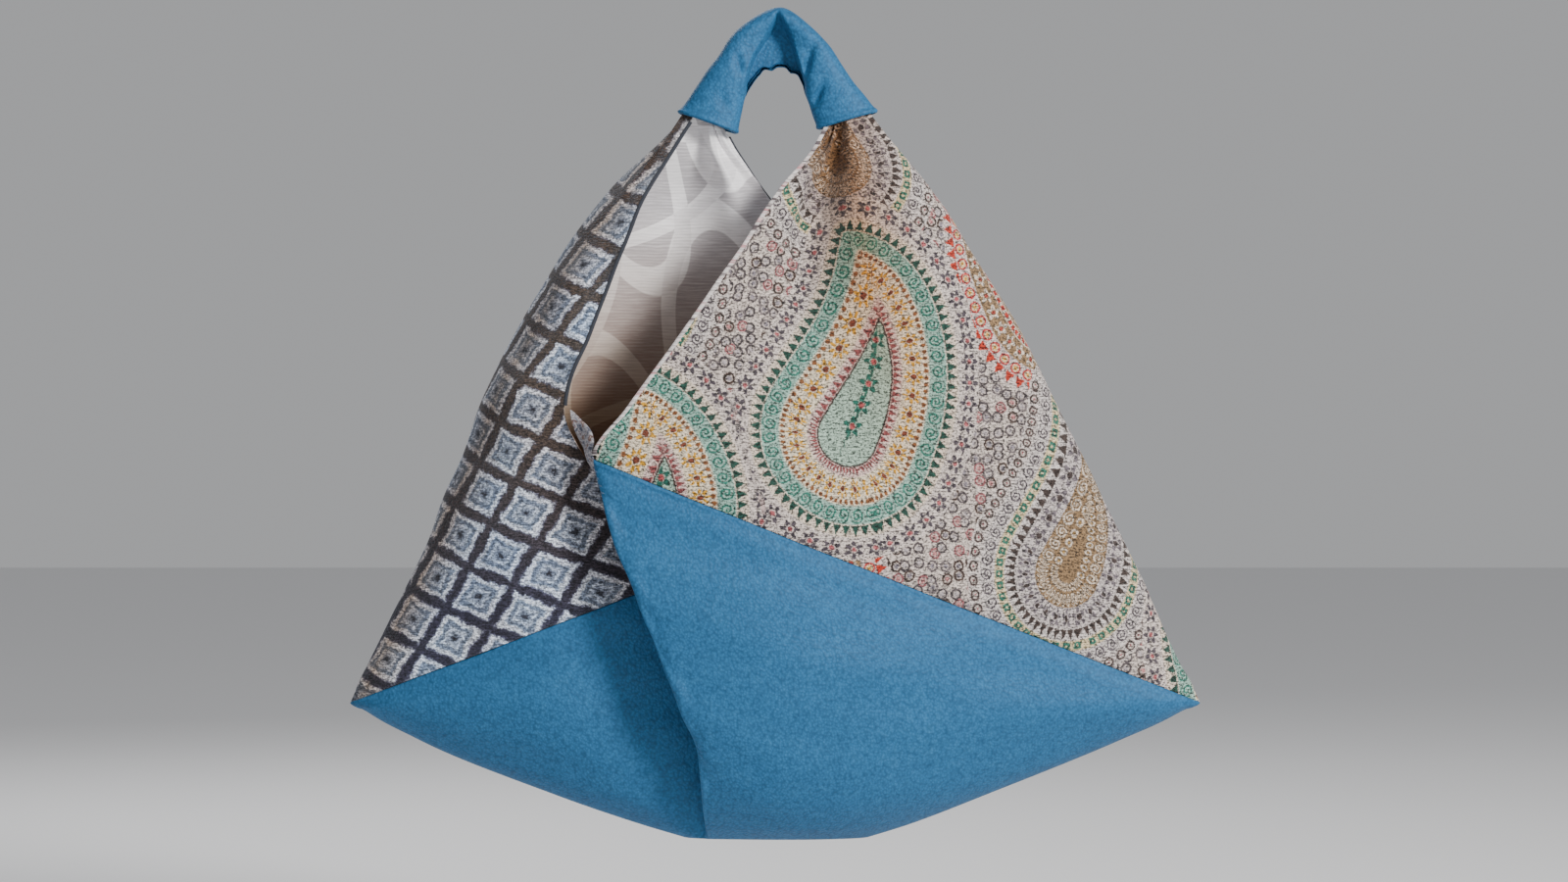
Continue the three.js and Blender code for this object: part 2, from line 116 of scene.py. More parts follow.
def curveThrough(at, value, breaks=()):
    # a smooth curve through samples that never overshoots; a break keeps a corner
    at, value = np.asarray(at, float), np.asarray(value, float)
    step = np.diff(value) / np.diff(at)
    before, after = np.zeros(len(at)), np.zeros(len(at))
    for i in range(len(at)):
        if i == 0 or i == len(at) - 1:
            before[i] = after[i] = step[min(i, len(step) - 1)]
        elif i in breaks:
            before[i], after[i] = step[i - 1], step[i]
        elif step[i - 1] * step[i] > 0:
            before[i] = after[i] = 2 * step[i - 1] * step[i] / (step[i - 1] + step[i])

    def curve(x):
        x = np.asarray(x, float)
        i = np.clip(np.searchsorted(at, x, side="left") - 1, 0, len(at) - 2)
        span = at[i + 1] - at[i]
        t = (x - at[i]) / span
        t2, t3 = t * t, t * t * t
        return ((2 * t3 - 3 * t2 + 1) * value[i] + (t3 - 2 * t2 + t) * span * after[i]
                + (3 * t2 - 2 * t3) * value[i + 1] + (t3 - t2) * span * before[i + 1])

    return curve


rowHeights = [row["height"] * bagForm["bodyHeight"] for row in levelRows]
trackNames = ["cheek", "groove", "fold", "belly", "hip"]
wide, deep = bagForm["halfWidth"], bagForm["halfDepth"]
trackX = {n: curveThrough(rowHeights, [row[n][0] * wide for row in levelRows]) for n in trackNames}
trackY = {n: curveThrough(rowHeights, [-row[n][1] * deep for row in levelRows]) for n in trackNames}
leftEdge, rightEdge = (curveThrough(rowHeights, [row[end] * wide for row in levelRows], (cornerRow,))
                       for end in ("left", "right"))


def unit(v):
    return v / np.maximum(np.linalg.norm(v, axis=-1, keepdims=True), 1e-9)


def levelPoints(z):
    # twenty control points of the closed path at each height
    form = bagForm
    at = {n: np.stack([trackX[n](z), trackY[n](z)], -1) for n in trackNames}
    shrink = smooth(z, 0, form["cornerHeight"] * 0.7)[..., None]
    closed = 1 - smooth(z, form["valleyHeight"] - form["notchBlend"], form["lipHeight"])[..., None]
    reach, curl = form["grooveRadius"] * shrink, form["foldRadius"] * shrink
    inward = unit(at["groove"] - at["cheek"])
    back = unit(at["fold"] - at["groove"])
    along = unit(at["belly"] - at["fold"])
    xAxis, yAxis = np.array([1.0, 0.0]), np.array([0.0, 1.0])
    beforeGroove = at["groove"] - inward * reach * 1.4
    afterGroove = at["groove"] + back * reach * 1.2
    behindFold = at["fold"] - back * curl * 1.3 + xAxis * curl * 0.35 * closed
    behindFold = mix(at["fold"] - along * curl, behindFold, closed)
    aheadOfFold = at["fold"] + along * curl * 1.3 - yAxis * curl * 0.35 * closed
    front = [at["cheek"], beforeGroove, at["groove"], afterGroove, behindFold, at["fold"], aheadOfFold,
             at["belly"], at["hip"]]
    left = np.stack([leftEdge(z), np.zeros_like(z)], -1)
    right = np.stack([rightEdge(z), np.zeros_like(z)], -1)
    return np.stack([left, *front, right, *[-p for p in front]])


def bagSurface(w, z):
    w, z = np.broadcast_arrays(np.asarray(w, float), np.asarray(z, float))
    shape = w.shape
    w, z = w.ravel(), z.ravel()
    points = levelPoints(z)
    n = bagForm["ringLength"]
    i = np.floor(w).astype(int)
    pick = np.arange(len(w))
    p = [points[(i + k) % n, pick] for k in (-1, 0, 1, 2)]
    knots = [np.zeros(len(w))]
    for k in range(1, 4):
        knots.append(knots[-1] + np.maximum(0.05, np.sqrt(np.linalg.norm(p[k] - p[k - 1], axis=-1))))
    t = mix(knots[1], knots[2], w - i)
    blend = lambda a, b, ta, tb: a + (b - a) * ((t - ta) / (tb - ta))[:, None]
    a = [blend(p[k], p[k + 1], knots[k], knots[k + 1]) for k in range(3)]
    b = [blend(a[k], a[k + 1], knots[k], knots[k + 2]) for k in range(2)]
    flat = blend(b[0], b[1], knots[1], knots[2])
    return np.concatenate([flat, z[:, None]], 1).reshape(*shape, 3)


# how far along the path and up a normal is measured: further where the gathered cloth doubles back
normalReach = {"across": 0.03, "up": 1.2, "gathered": 1.1, "gatheredFrom": 400, "gatheredTo": 445,
               "peakStart": 4.5, "peakLow": 1.75, "peakHigh": 8.25}


def surfaceNormal(w, z):
    near = normalReach
    dw, dz = near["across"], near["up"]
    w, z = np.broadcast_arrays(np.asarray(w, float), np.asarray(z, float))
    reach = dw + near["gathered"] * smooth(z, near["gatheredFrom"], near["gatheredTo"])
    place = np.mod(w - near["peakStart"], 10)
    toEnd, fromStart = (np.maximum(gap, dw) for gap in (near["peakHigh"] - place, place - near["peakLow"]))
    ahead = np.where(reach > 0.1, np.minimum(reach, toEnd), dw)
    behind = np.where(reach > 0.1, np.minimum(reach, fromStart), dw)
    across = bagSurface(w + ahead, z) - bagSurface(w - behind, z)
    up = bagSurface(w, z + dz) - bagSurface(w, np.maximum(0, z - dz))
    return unit(np.cross(across, up))


def seamHeight(w):
    # upper edge of the leather base; both seams run straight in the front view
    form = bagForm
    w = np.asarray(w, float)
    v = np.mod(w, form["rightSide"])
    turned = np.where(np.mod(np.floor(w / form["rightSide"]), 2) == 0, 1.0, -1.0)
    foldX = float(trackX["fold"](form["valleyHeight"]))
    slopeRight = (form["valleyHeight"] - form["cornerHeight"]) / (form["halfWidth"] * 1.416)
    onLeft = lambda x: form["cornerHeight"] + (x + form["halfWidth"]) * form["seamSlopeLeft"]
    onRight = lambda x: form["valleyHeight"] - (x - foldX) * slopeRight

    def settle(line):
        z = np.full(w.shape, form["valleyHeight"] * 0.6)
        for _ in range(40):
            z = mix(z, line(bagSurface(w, z)[..., 0] * turned), 0.5)
        return z

    left, right = settle(onLeft), np.minimum(form["valleyHeight"], settle(onRight))
    grooveSeam = float(grooveSeamHeight())
    ramp = mix(grooveSeam, form["valleyHeight"] - form["tabRise"] / 2,
               smooth(v, form["grooveAt"] + 0.5, form["foldAt"]))
    result = np.where(v <= form["grooveAt"], left, np.where(v < form["foldAt"], ramp, right))
    return np.where(v < 0.001, form["cornerHeight"], result)


def grooveSeamHeight():
    form = bagForm
    z = form["valleyHeight"] * 0.6
    for _ in range(40):
        x = bagSurface(form["grooveAt"], z)[..., 0]
        z = mix(z, form["cornerHeight"] + (x + form["halfWidth"]) * form["seamSlopeLeft"], 0.5)
    return z


def rimHeight(v):
    form = bagForm
    toFold = smooth(v, form["grooveAt"], form["foldAt"])
    return mix(form["lipHeight"], form["valleyHeight"] + form["tabRise"], toFold)


def toScene(points):
    # millimetres from the lowest point to metres from the hang point
    p = np.asarray(points, float).reshape(-1, 3).copy()
    p[:, 2] -= crownUnderside
    return p / 1000.0


def putInScene(thing):
    bpy.context.scene.collection.objects.link(thing)


def makeMesh(name, points, faces, materials, slot, node=None):
    mesh = bpy.data.meshes.new(name)
    mesh.from_pydata([tuple(p) for p in toScene(points)], [], faces)
    mesh.update()
    mesh.polygons.foreach_set("use_smooth", [True] * len(mesh.polygons))
    piece = bpy.data.objects.new(name, mesh)
    putInScene(piece)
    for material in materials:
        mesh.materials.append(material)
    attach(piece, "root")
    if node:
        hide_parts(node)
    return piece


def gridFaces(columns, rows, ring=False, start=0, flip=False):
    i, j = np.meshgrid(np.arange(columns if ring else columns - 1), np.arange(rows - 1), indexing="ij")
    a = start + i * rows + j
    b = start + ((i + 1) % columns) * rows + j
    quads = np.stack([a, b, b + 1, a + 1], -1).reshape(-1, 4)
    return (quads[:, ::-1] if flip else quads).tolist()


def twoSkins(outer, inner, columns, rows, ring=False):
    # the points and faces of a wall's two sides; its edges are closed by the caller
    points = np.concatenate([outer.reshape(-1, 3), inner.reshape(-1, 3)])
    n = columns * rows
    return points, gridFaces(columns, rows, ring) + gridFaces(columns, rows, ring, start=n, flip=True), n


def addVectorField(piece, name, values):
    field = piece.data.attributes.new(name, "FLOAT_VECTOR", "POINT")
    field.data.foreach_set("vector", np.asarray(values, np.float32).ravel())


print("form ready, crown underside at", round(crownUnderside, 2), "mm")

# Materials

def hexColour(code):
    # an sRGB colour code to the linear values that shaders take
    parts = [int(code[i:i + 2], 16) / 255 for i in (0, 2, 4)]
    return [c / 12.92 if c <= 0.04045 else ((c + 0.055) / 1.055) ** 2.4 for c in parts] + [1.0]


class NodeBench:
    # short calls for building one node tree, laid out left to right
    def __init__(self, tree):
        self.tree = tree
        self.count = 0

    def add(self, kind, **settings):
        node = self.tree.nodes.new(kind)
        self.count += 1
        node.location = ((self.count // 8) * 200, -(self.count % 8) * 170)
        for key, value in settings.items():
            setattr(node, key, value)
        return node

    def put(self, socket, value):
        if isinstance(value, bpy.types.NodeSocket):
            self.tree.links.new(value, socket)
        elif value is not None:
            socket.default_value = value

    def math(self, operation, a, b=None, c=None, clamp=False):
        node = self.add("ShaderNodeMath", operation=operation, use_clamp=clamp)
        for i, value in enumerate((a, b, c)):
            self.put(node.inputs[i], value)
        return node.outputs[0]

    def scaleAdd(self, a, by, plus, clamp=False):
        return self.math("MULTIPLY_ADD", a, by, plus, clamp)

    def times(self, a, b):
        return self.math("MULTIPLY", a, b)

    def over(self, a, b, clamp=False):
        return self.math("DIVIDE", a, b, clamp=clamp)

    def plus(self, a, b):
        return self.math("ADD", a, b)

    def minus(self, a, b, clamp=False):
        return self.math("SUBTRACT", a, b, clamp=clamp)

    def most(self, a, b):
        return self.math("MAXIMUM", a, b)

    def least(self, a, b):
        return self.math("MINIMUM", a, b)

    def size(self, a):
        return self.math("ABSOLUTE", a)

    def tint(self, a, b):
        return self.blend(1.0, a, b, "MULTIPLY")

    def vector(self, operation, a, b=None, scale=None):
        node = self.add("ShaderNodeVectorMath", operation=operation)
        self.put(node.inputs[0], a)
        self.put(node.inputs[1], b)
        if scale is not None:
            self.put(node.inputs["Scale"], scale)
        return node.outputs["Value" if operation in ("LENGTH", "DISTANCE", "DOT_PRODUCT") else "Vector"]

    def split(self, vector):
        node = self.add("ShaderNodeSeparateXYZ")
        self.put(node.inputs[0], vector)
        return node.outputs[0], node.outputs[1], node.outputs[2]

    def join(self, x=0.0, y=0.0, z=0.0):
        node = self.add("ShaderNodeCombineXYZ")
        for i, value in enumerate((x, y, z)):
            self.put(node.inputs[i], value)
        return node.outputs[0]

    def blend(self, factor, a, b, blendType="MIX"):
        node = self.add("ShaderNodeMix", data_type="RGBA", blend_type=blendType)
        self.put(node.inputs[0], factor)
        self.put(node.inputs[6], a)
        self.put(node.inputs[7], b)
        return node.outputs[2]

    def noise(self, vector, scale, detail=2.0, rough=0.5, colour=False):
        node = self.add("ShaderNodeTexNoise")
        self.put(node.inputs["Vector"], vector)
        self.put(node.inputs["Scale"], scale)
        self.put(node.inputs["Detail"], detail)
        self.put(node.inputs["Roughness"], rough)
        return node.outputs["Color" if colour else "Fac"]

    def ramp(self, factor, stops, interpolation="LINEAR"):
        node = self.add("ShaderNodeValToRGB")
        node.color_ramp.interpolation = interpolation
        ramp = node.color_ramp.elements
        for k, (at, colour) in enumerate(stops):
            stop = ramp[k] if k < 2 else ramp.new(at)
            stop.position = at
            stop.color = hexColour(colour) if isinstance(colour, str) else (colour, colour, colour, 1.0)
        self.put(node.inputs[0], factor)
        return node.outputs[0]

    def attribute(self, name):
        return self.add("ShaderNodeAttribute", attribute_name=name).outputs["Vector"]

    def group(self, tree, **values):
        node = self.add("ShaderNodeGroup")
        node.node_tree = tree
        for key, value in values.items():
            self.put(node.inputs[key], value)
        return node.outputs


def newGroup(name, inputs, outputs):
    # an input without a value of its own takes a vector
    tree = bpy.data.node_groups.new(name, "ShaderNodeTree")
    for label, value in inputs.items():
        kind = "NodeSocketVector" if value is None else "NodeSocketFloat"
        socket = tree.interface.new_socket(name=label, in_out="INPUT", socket_type=kind)
        if value is not None:
            socket.default_value = value
    for label in outputs:
        kind = "NodeSocketVector" if label == "Drift" else "NodeSocketFloat"
        tree.interface.new_socket(name=label, in_out="OUTPUT", socket_type=kind)
    bench = NodeBench(tree)
    return tree, bench, bench.add("NodeGroupInput").outputs, bench.add("NodeGroupOutput").inputs


def newMaterial(name, roughness=0.7, specular=0.5, sheen=0.0, sheenRoughness=0.5, sheenTint=None):
    material = bpy.data.materials.new(name)
    material.use_nodes = True
    tree = material.node_tree
    tree.nodes.clear()
    bench = NodeBench(tree)
    shader = bench.add("ShaderNodeBsdfPrincipled")
    out = bench.add("ShaderNodeOutputMaterial")
    tree.links.new(shader.outputs[0], out.inputs[0])
    shader.inputs["Roughness"].default_value = roughness
    shader.inputs["Specular IOR Level"].default_value = specular
    shader.inputs["Sheen Weight"].default_value = sheen
    shader.inputs["Sheen Roughness"].default_value = sheenRoughness
    if sheenTint:
        shader.inputs["Sheen Tint"].default_value = hexColour(sheenTint)
    return material, bench, shader


def addBump(bench, shader, height, strength, distance):
    bump = bench.add("ShaderNodeBump")
    bench.put(bump.inputs["Height"], height)
    bump.inputs["Strength"].default_value = strength
    bump.inputs["Distance"].default_value = distance
    bench.put(shader.inputs["Normal"], bump.outputs[0])


# woven yarns: puts out a height and a light-dark value of a coarse jacquard weave, over cloth millimetres
def wovenYarnGroup():
    tree, bench, given, out = newGroup("wovenYarn", {"Cloth": None, "Pitch": 0.9, "Slub": 0.5},
                                       ["Height", "Shade", "Drift"])
    cloth = given["Cloth"]
    drift = bench.vector("SUBTRACT", bench.noise(cloth, 0.5, 4.0, 0.72, colour=True), (0.5, 0.5, 0.5))
    x, y, _ = bench.split(cloth)
    wobble = bench.noise(cloth, 0.12, 2.0, 0.5)
    weft = bench.scaleAdd(wobble, 2.2, y)
    rib = bench.math("SINE", bench.over(bench.times(weft, 2 * math.pi), given["Pitch"]))
    strands = bench.noise(bench.join(bench.times(x, 0.32), bench.times(y, 0.85)), 1.0, 3.0, 0.7)
    floats = bench.noise(bench.join(bench.times(x, 0.75), bench.times(y, 0.6)), 1.0, 2.0, 0.75)
    slubs = bench.times(bench.minus(strands, 0.5), given["Slub"])
    bench.put(out["Height"], bench.scaleAdd(rib, 0.16, bench.scaleAdd(slubs, 1.9, floats)))
    bench.put(out["Shade"], bench.scaleAdd(rib, 0.05, bench.scaleAdd(slubs, 1.7, floats)))
    bench.put(out["Drift"], drift)
    return tree


wovenYarn = wovenYarnGroup()


# soft leather: a fine pebbled grain, with slow changes of tone
def leatherGrainGroup():
    tree, bench, given, out = newGroup("leatherGrain", {"Place": None, "Pebble": 900.0},
                                       ["Height", "Tone", "Wear"])
    place = given["Place"]
    pebbles = bench.add("ShaderNodeTexVoronoi", feature="SMOOTH_F1")
    bench.put(pebbles.inputs["Vector"], bench.vector("ADD", place, bench.vector(
        "SCALE", bench.noise(place, 380.0, 2.0, 0.5, colour=True), scale=0.0012)))
    bench.put(pebbles.inputs["Scale"], given["Pebble"])
    pebbles.inputs["Smoothness"].default_value = 0.6
    fine = bench.noise(place, 1900.0, 2.0, 0.6)
    slow = bench.noise(place, 16.0, 3.0, 0.5)
    cloud = bench.noise(place, 55.0, 4.0, 0.6)
    bench.put(out["Height"], bench.scaleAdd(fine, 0.35, pebbles.outputs["Distance"]))
    bench.put(out["Tone"], bench.scaleAdd(cloud, 0.45, bench.times(slow, 0.55)))
    bench.put(out["Wear"], bench.noise(place, 210.0, 3.0, 0.7))
    return tree


leatherGrain = leatherGrainGroup()


leatherLook = {"deep": "1f5076", "middle": "27638f", "light": "3776a3", "pebble": 560.0, "grain": 0.75}


def blueLeatherMaterial():
    material, bench, shader = newMaterial("blueLeather", 0.7, 0.22, 0.05, 0.4, "8fb8d6")
    look = leatherLook
    place = bench.add("ShaderNodeTexCoord").outputs["Object"]
    grain = bench.group(leatherGrain, Place=place, Pebble=look["pebble"])
    speck = bench.scaleAdd(bench.minus(grain["Wear"], 0.5), 0.6, bench.scaleAdd(grain["Tone"], 0.3, 0.35))
    colour = bench.ramp(speck, [(0.2, look["deep"]), (0.8, look["light"]), (0.5, look["middle"])])
    pits = bench.ramp(grain["Height"], [(0.2, 1.12), (0.95, 0.66)])
    bench.put(shader.inputs["Base Color"], bench.tint(colour, pits))
    bench.put(shader.inputs["Roughness"], bench.scaleAdd(grain["Tone"], 0.2, 0.5))
    addBump(bench, shader, grain["Height"], look["grain"], 0.0005)
    return material


clothRuler = 500.0  # millimetres up the flat cloth, which the changes of colour up a peak are shares of
squaresLook = {
    "cell": (33.8, 33.3),  # along the peak's edge and across it
    "edgeTurn": math.radians(234.4),
    "crossTurn": math.radians(-21.5),
    "cellStart": (-181.8, 268.2),  # a cell's middle, in cloth millimetres
    "fray": 5.6,
    "wander": 6.5,  # how far a cell's sides wander
    "outerEdge": (-320.0, 0.546),  # the peak's outer edge, where painted warm shade shows: x at the foot and lean
    "outerShadeReach": 34.0,
    "tints": ("e9eef7", "d6deee"),  # one between these for each cell
    "brownGround": "4b423c",
    "brownYarnAndShade": "b88f66",
    "rings": [(0.0, "2c2b33"), (0.05, "3a3b44"), (0.08, "8791a0"), (0.13, "b3bfce"), (0.17, "dde8f3"),
              (0.2, "98a4b4"), (0.24, "737f90"), (0.28, "8f9dae"), (0.31, "f2f7fc"), (0.37, "eef4fa"),
              (0.4, "747589"), (0.425, "3d3a49"), (0.5, "33303f")],  # from a cell's middle outwards
}


def squaresMaterial():
    material, bench, shader = newMaterial("squaresJacquard", 0.85, 0.3, 0.3, 0.4, "c9d4e6")
    look = squaresLook
    cloth = bench.attribute("cloth")
    yarn = bench.group(wovenYarn, Cloth=cloth, Pitch=0.95, Slub=0.9)
    frayed = bench.vector("ADD", cloth, bench.vector("SCALE", yarn["Drift"], scale=look["fray"]))
    wander = bench.vector("SUBTRACT", bench.noise(cloth, 0.11, 2.0, 0.6, colour=True), (0.5, 0.5, 0.5))
    frayed = bench.vector("ADD", frayed, bench.vector("SCALE", wander, scale=look["wander"]))
    along = np.array([math.cos(look["edgeTurn"]), math.sin(look["edgeTurn"])])
    across = np.array([math.cos(look["crossTurn"]), math.sin(look["crossTurn"])])
    toCell = np.linalg.inv(np.stack([along * look["cell"][0], across * look["cell"][1]], 1))
    shifted = bench.vector("SUBTRACT", frayed, (*look["cellStart"], 0.0))
    p = bench.vector("DOT_PRODUCT", shifted, (*toCell[0], 0.0))
    q = bench.vector("DOT_PRODUCT", shifted, (*toCell[1], 0.0))
    centred = [bench.size(bench.minus(bench.math("FRACT", bench.plus(axis, 0.5)), 0.5)) for axis in (p, q)]
    inside = bench.most(*centred)
    pinched = bench.scaleAdd(bench.least(*centred), -0.07, bench.plus(inside, 0.012))
    rings = bench.ramp(pinched, look["rings"])
    cellTone = bench.add("ShaderNodeTexWhiteNoise", noise_dimensions="2D")
    bench.put(cellTone.inputs["Vector"], bench.join(
        bench.math("FLOOR", bench.plus(p, 0.5)), bench.math("FLOOR", bench.plus(q, 0.5))))
    cool = bench.blend(cellTone.outputs["Value"], *[hexColour(code) for code in look["tints"]])
    threads = bench.ramp(yarn["Shade"], [(0.3, 0.3), (0.5, 0.95), (0.68, 1.9)])
    x, y, _ = bench.split(cloth)
    stretched = bench.join(bench.times(x, 0.2), bench.times(y, 0.5))
    clumps = bench.ramp(bench.noise(stretched, 1.0, 3.0, 0.6), [(0.34, 0.66), (0.64, 1.34)])
    threads = bench.tint(threads, clumps)
    colour = bench.tint(bench.tint(rings, cool), threads)
    # the ground between the cells turns from navy to brown up the peak
    between = bench.times(bench.ramp(inside, [(0.38, 0.0), (0.43, 1.0)]),
                         bench.ramp(bench.over(y, clothRuler), [(0.3, 0.0), (0.55, 1.0)]))
    colour = bench.blend(between, colour, bench.tint(hexColour(look["brownGround"]), threads))
    slow = bench.noise(bench.vector("SCALE", cloth, scale=0.024), 1.0, 2.0)
    warm = bench.ramp(slow, [(0.45, 0.0), (0.7, 1.0)])
    # painted warm shade gathers towards the notch at the front
    notch = bench.over(bench.plus(bench.scaleAdd(y, 0.39, x), 75.0), 60.0, clamp=True)
    notch = bench.times(notch, bench.ramp(bench.over(y, clothRuler), [(0.56, 1.0), (0.656, 0.0)]))
    # painted warm shade towards the peak's outer edge
    foot, lean = look["outerEdge"]
    aside = bench.size(bench.minus(bench.scaleAdd(y, -lean, x), foot))
    outer = bench.minus(1.0, bench.over(aside, look["outerShadeReach"]), clamp=True)
    # the brown mix holds random warm patches of the cloth's own tone and the painted warm shade
    brown = bench.most(bench.times(warm, 0.3), bench.times(notch, 0.5))
    brown = bench.most(brown, bench.times(outer, 0.85))
    colour = bench.blend(brown, colour, bench.tint(colour, hexColour(look["brownYarnAndShade"])))
    bench.put(shader.inputs["Base Color"], colour)
    addBump(bench, shader, yarn["Height"], 0.85, 0.0014)
    return material


liningLook = {
    "ground": "aeaaae",
    "band": "f7f5f7",
    "shadedGround": "967660",
    "shadedBand": "bfa78f",
    "shadeFrom": (0.56, 0.84),  # painted warm shade: it turns brown below, as shares of the cloth ruler
    "hatchPitch": 2.1,
    "tile": (190.0, 176.0),
    # oval loops: middle across and up, half width, half length, and turn in degrees
    "loops": [(-150.0, 345.0, 40.0, 86.0, 62.0), (-96.0, 262.0, 38.0, 84.0, 112.0),
              (-92.0, 430.0, 36.0, 82.0, 20.0), (-30.0, 340.0, 40.0, 88.0, 95.0)],
}


def liningMaterial():
    material, bench, shader = newMaterial("silverLining", 0.42, 0.55, 0.25, 0.35, "ffffff")
    look = liningLook
    cloth = bench.attribute("cloth")
    x, y, _ = bench.split(cloth)
    band, crossings = None, None
    for px, py, short, long, turn in look["loops"]:
        c, sn = math.cos(math.radians(turn)), math.sin(math.radians(turn))
        rel = bench.vector("SUBTRACT", cloth, (px, py, 0.0))
        tiles = bench.vector("ADD", bench.vector("DIVIDE", rel, (*look["tile"], 1.0)), (0.5, 0.5, 0.0))
        whole = bench.vector("MULTIPLY", bench.vector("FLOOR", tiles), (*look["tile"], 0.0))
        rel = bench.vector("SUBTRACT", rel, whole)
        along = bench.vector("DOT_PRODUCT", rel, (c / long, sn / long, 0.0))
        across = bench.vector("DOT_PRODUCT", rel, (-sn / short, c / short, 0.0))
        oval = bench.vector("LENGTH", bench.join(along, across))
        loop = bench.ramp(bench.size(bench.minus(oval, 0.86)), [(0.115, 1.0), (0.13, 0.0)])
        crossings = loop if band is None else bench.most(crossings, bench.times(band, loop))
        band = loop if band is None else bench.most(band, loop)
    band = bench.minus(band, bench.times(crossings, 0.3))
    weft = bench.scaleAdd(bench.noise(cloth, 0.05, 1.0), 3.0, y)
    hatch = bench.math("SINE", bench.times(weft, 2 * math.pi / look["hatchPitch"]))
    streak = bench.noise(bench.join(bench.times(x, 0.05), bench.times(y, 0.75)), 1.0, 3.0, 0.75)
    tone = bench.scaleAdd(bench.minus(streak, 0.5), 1.5, bench.scaleAdd(band, 0.72, 0.12))
    tone = bench.scaleAdd(hatch, 0.1, tone)
    cool, warm = (bench.ramp(tone, [(0.0, look[ground]), (1.0, look[stripe])])
                  for ground, stripe in (("ground", "band"), ("shadedGround", "shadedBand")))
    # the lower lining is painted with warm shade, cool above and brown below
    low, high = look["shadeFrom"]
    lower = bench.ramp(bench.over(y, clothRuler), [(low, 1.0), (high, 0.0)])
    bench.put(shader.inputs["Base Color"], bench.blend(lower, cool, warm))
    bench.put(shader.inputs["Roughness"], bench.scaleAdd(band, -0.14, 0.5))
    height = bench.scaleAdd(band, 0.6, bench.scaleAdd(hatch, 0.25, streak))
    addBump(bench, shader, height, 0.3, 0.0003)
    return material


def pipingMaterial():
    material, bench, shader = newMaterial("blackPiping", 0.75, 0.35, 0.2)
    place = bench.add("ShaderNodeTexCoord").outputs["Object"]
    lint = bench.noise(place, 2600.0, 3.0, 0.7)
    bench.put(shader.inputs["Base Color"], bench.ramp(lint, [(0.35, "10131a"), (0.7, "343945")]))
    addBump(bench, shader, lint, 0.5, 0.0004)
    return material


# rows of woven motifs along a figure's outline: Figure is the depth inside it and the length along it, in mm
def rowPlace(bench, given):
    depth, along, _ = bench.split(given["Figure"])
    share = bench.minus(bench.math("FRACT", bench.over(along, given["Pitch"])), 0.5)
    u = bench.times(share, given["Pitch"])
    v = bench.minus(depth, given["Middle"])
    return u, v


def under(bench, value, limit, soft=0.7):
    # 1 where the value is below the limit, with a frayed step between
    return bench.scaleAdd(bench.minus(limit, value), 1 / soft, 0.5, clamp=True)


def rowGroup(name, settings, outputs):
    return newGroup(name, {"Figure": None, "Middle": 0.0, "Pitch": 10.0, **settings}, outputs)


def beadRowGroup():
    tree, bench, given, out = rowGroup("beadRow", {"Radius": 5.0, "Hole": 4.0, "Core": 2.0},
                                       ["Disc", "Fill", "Core"])
    u, v = rowPlace(bench, given)
    reach = bench.vector("LENGTH", bench.join(u, v))
    for label, limit in (("Disc", "Radius"), ("Fill", "Hole"), ("Core", "Core")):
        bench.put(out[label], under(bench, reach, given[limit]))
    return tree


def flowerRowGroup():
    tree, bench, given, out = rowGroup("flowerRow", {"Radius": 6.0, "Petals": 5.0, "Core": 1.8},
                                       ["Flower", "Core"])
    u, v = rowPlace(bench, given)
    reach = bench.vector("LENGTH", bench.join(u, v))
    lobes = bench.math("COSINE", bench.times(bench.math("ARCTAN2", u, v), given["Petals"]))
    edge = bench.times(given["Radius"], bench.scaleAdd(lobes, 0.27, 0.76))
    clear = bench.minus(1.0, under(bench, reach, bench.plus(given["Core"], 0.7)))
    bench.put(out["Flower"], bench.times(under(bench, reach, edge), clear))
    bench.put(out["Core"], under(bench, reach, given["Core"]))
    return tree


def blockRowGroup():
    tree, bench, given, out = rowGroup("blockRow", {"Along": 3.0, "Across": 3.0, "Hole": 1.5},
                                       ["Block", "Hole"])
    u, v = rowPlace(bench, given)
    side, up = bench.size(u), bench.size(v)
    within = [under(bench, side, given["Along"]), under(bench, up, given["Across"])]
    bench.put(out["Block"], bench.least(*within))
    bench.put(out["Hole"], under(bench, bench.plus(side, up), given["Hole"]))
    return tree


def scrollRowGroup():
    tree, bench, given, out = rowGroup("scrollRow", {"Radius": 4.6}, ["Scroll"])
    u, v = rowPlace(bench, given)
    reach = bench.vector("LENGTH", bench.join(u, v))
    turn = bench.over(bench.math("ARCTAN2", v, u), 2 * math.pi)
    coil = bench.math("FRACT", bench.plus(bench.over(reach, bench.times(given["Radius"], 0.56)), turn))
    arm = under(bench, bench.size(bench.minus(coil, 0.45)), 0.24, 0.2)
    bench.put(out["Scroll"], bench.times(arm, under(bench, reach, given["Radius"])))
    return tree


def toothRowGroup():
    tree, bench, given, out = rowGroup("toothRow", {"Across": 5.0}, ["Tooth"])
    u, v = rowPlace(bench, given)
    rise = bench.over(bench.plus(v, given["Across"]), bench.times(given["Across"], 2.0))
    edge = bench.times(bench.times(given["Pitch"], 0.46), rise)
    inRow = under(bench, bench.size(v), given["Across"])
    bench.put(out["Tooth"], bench.times(under(bench, bench.size(u), edge), inRow))
    return tree


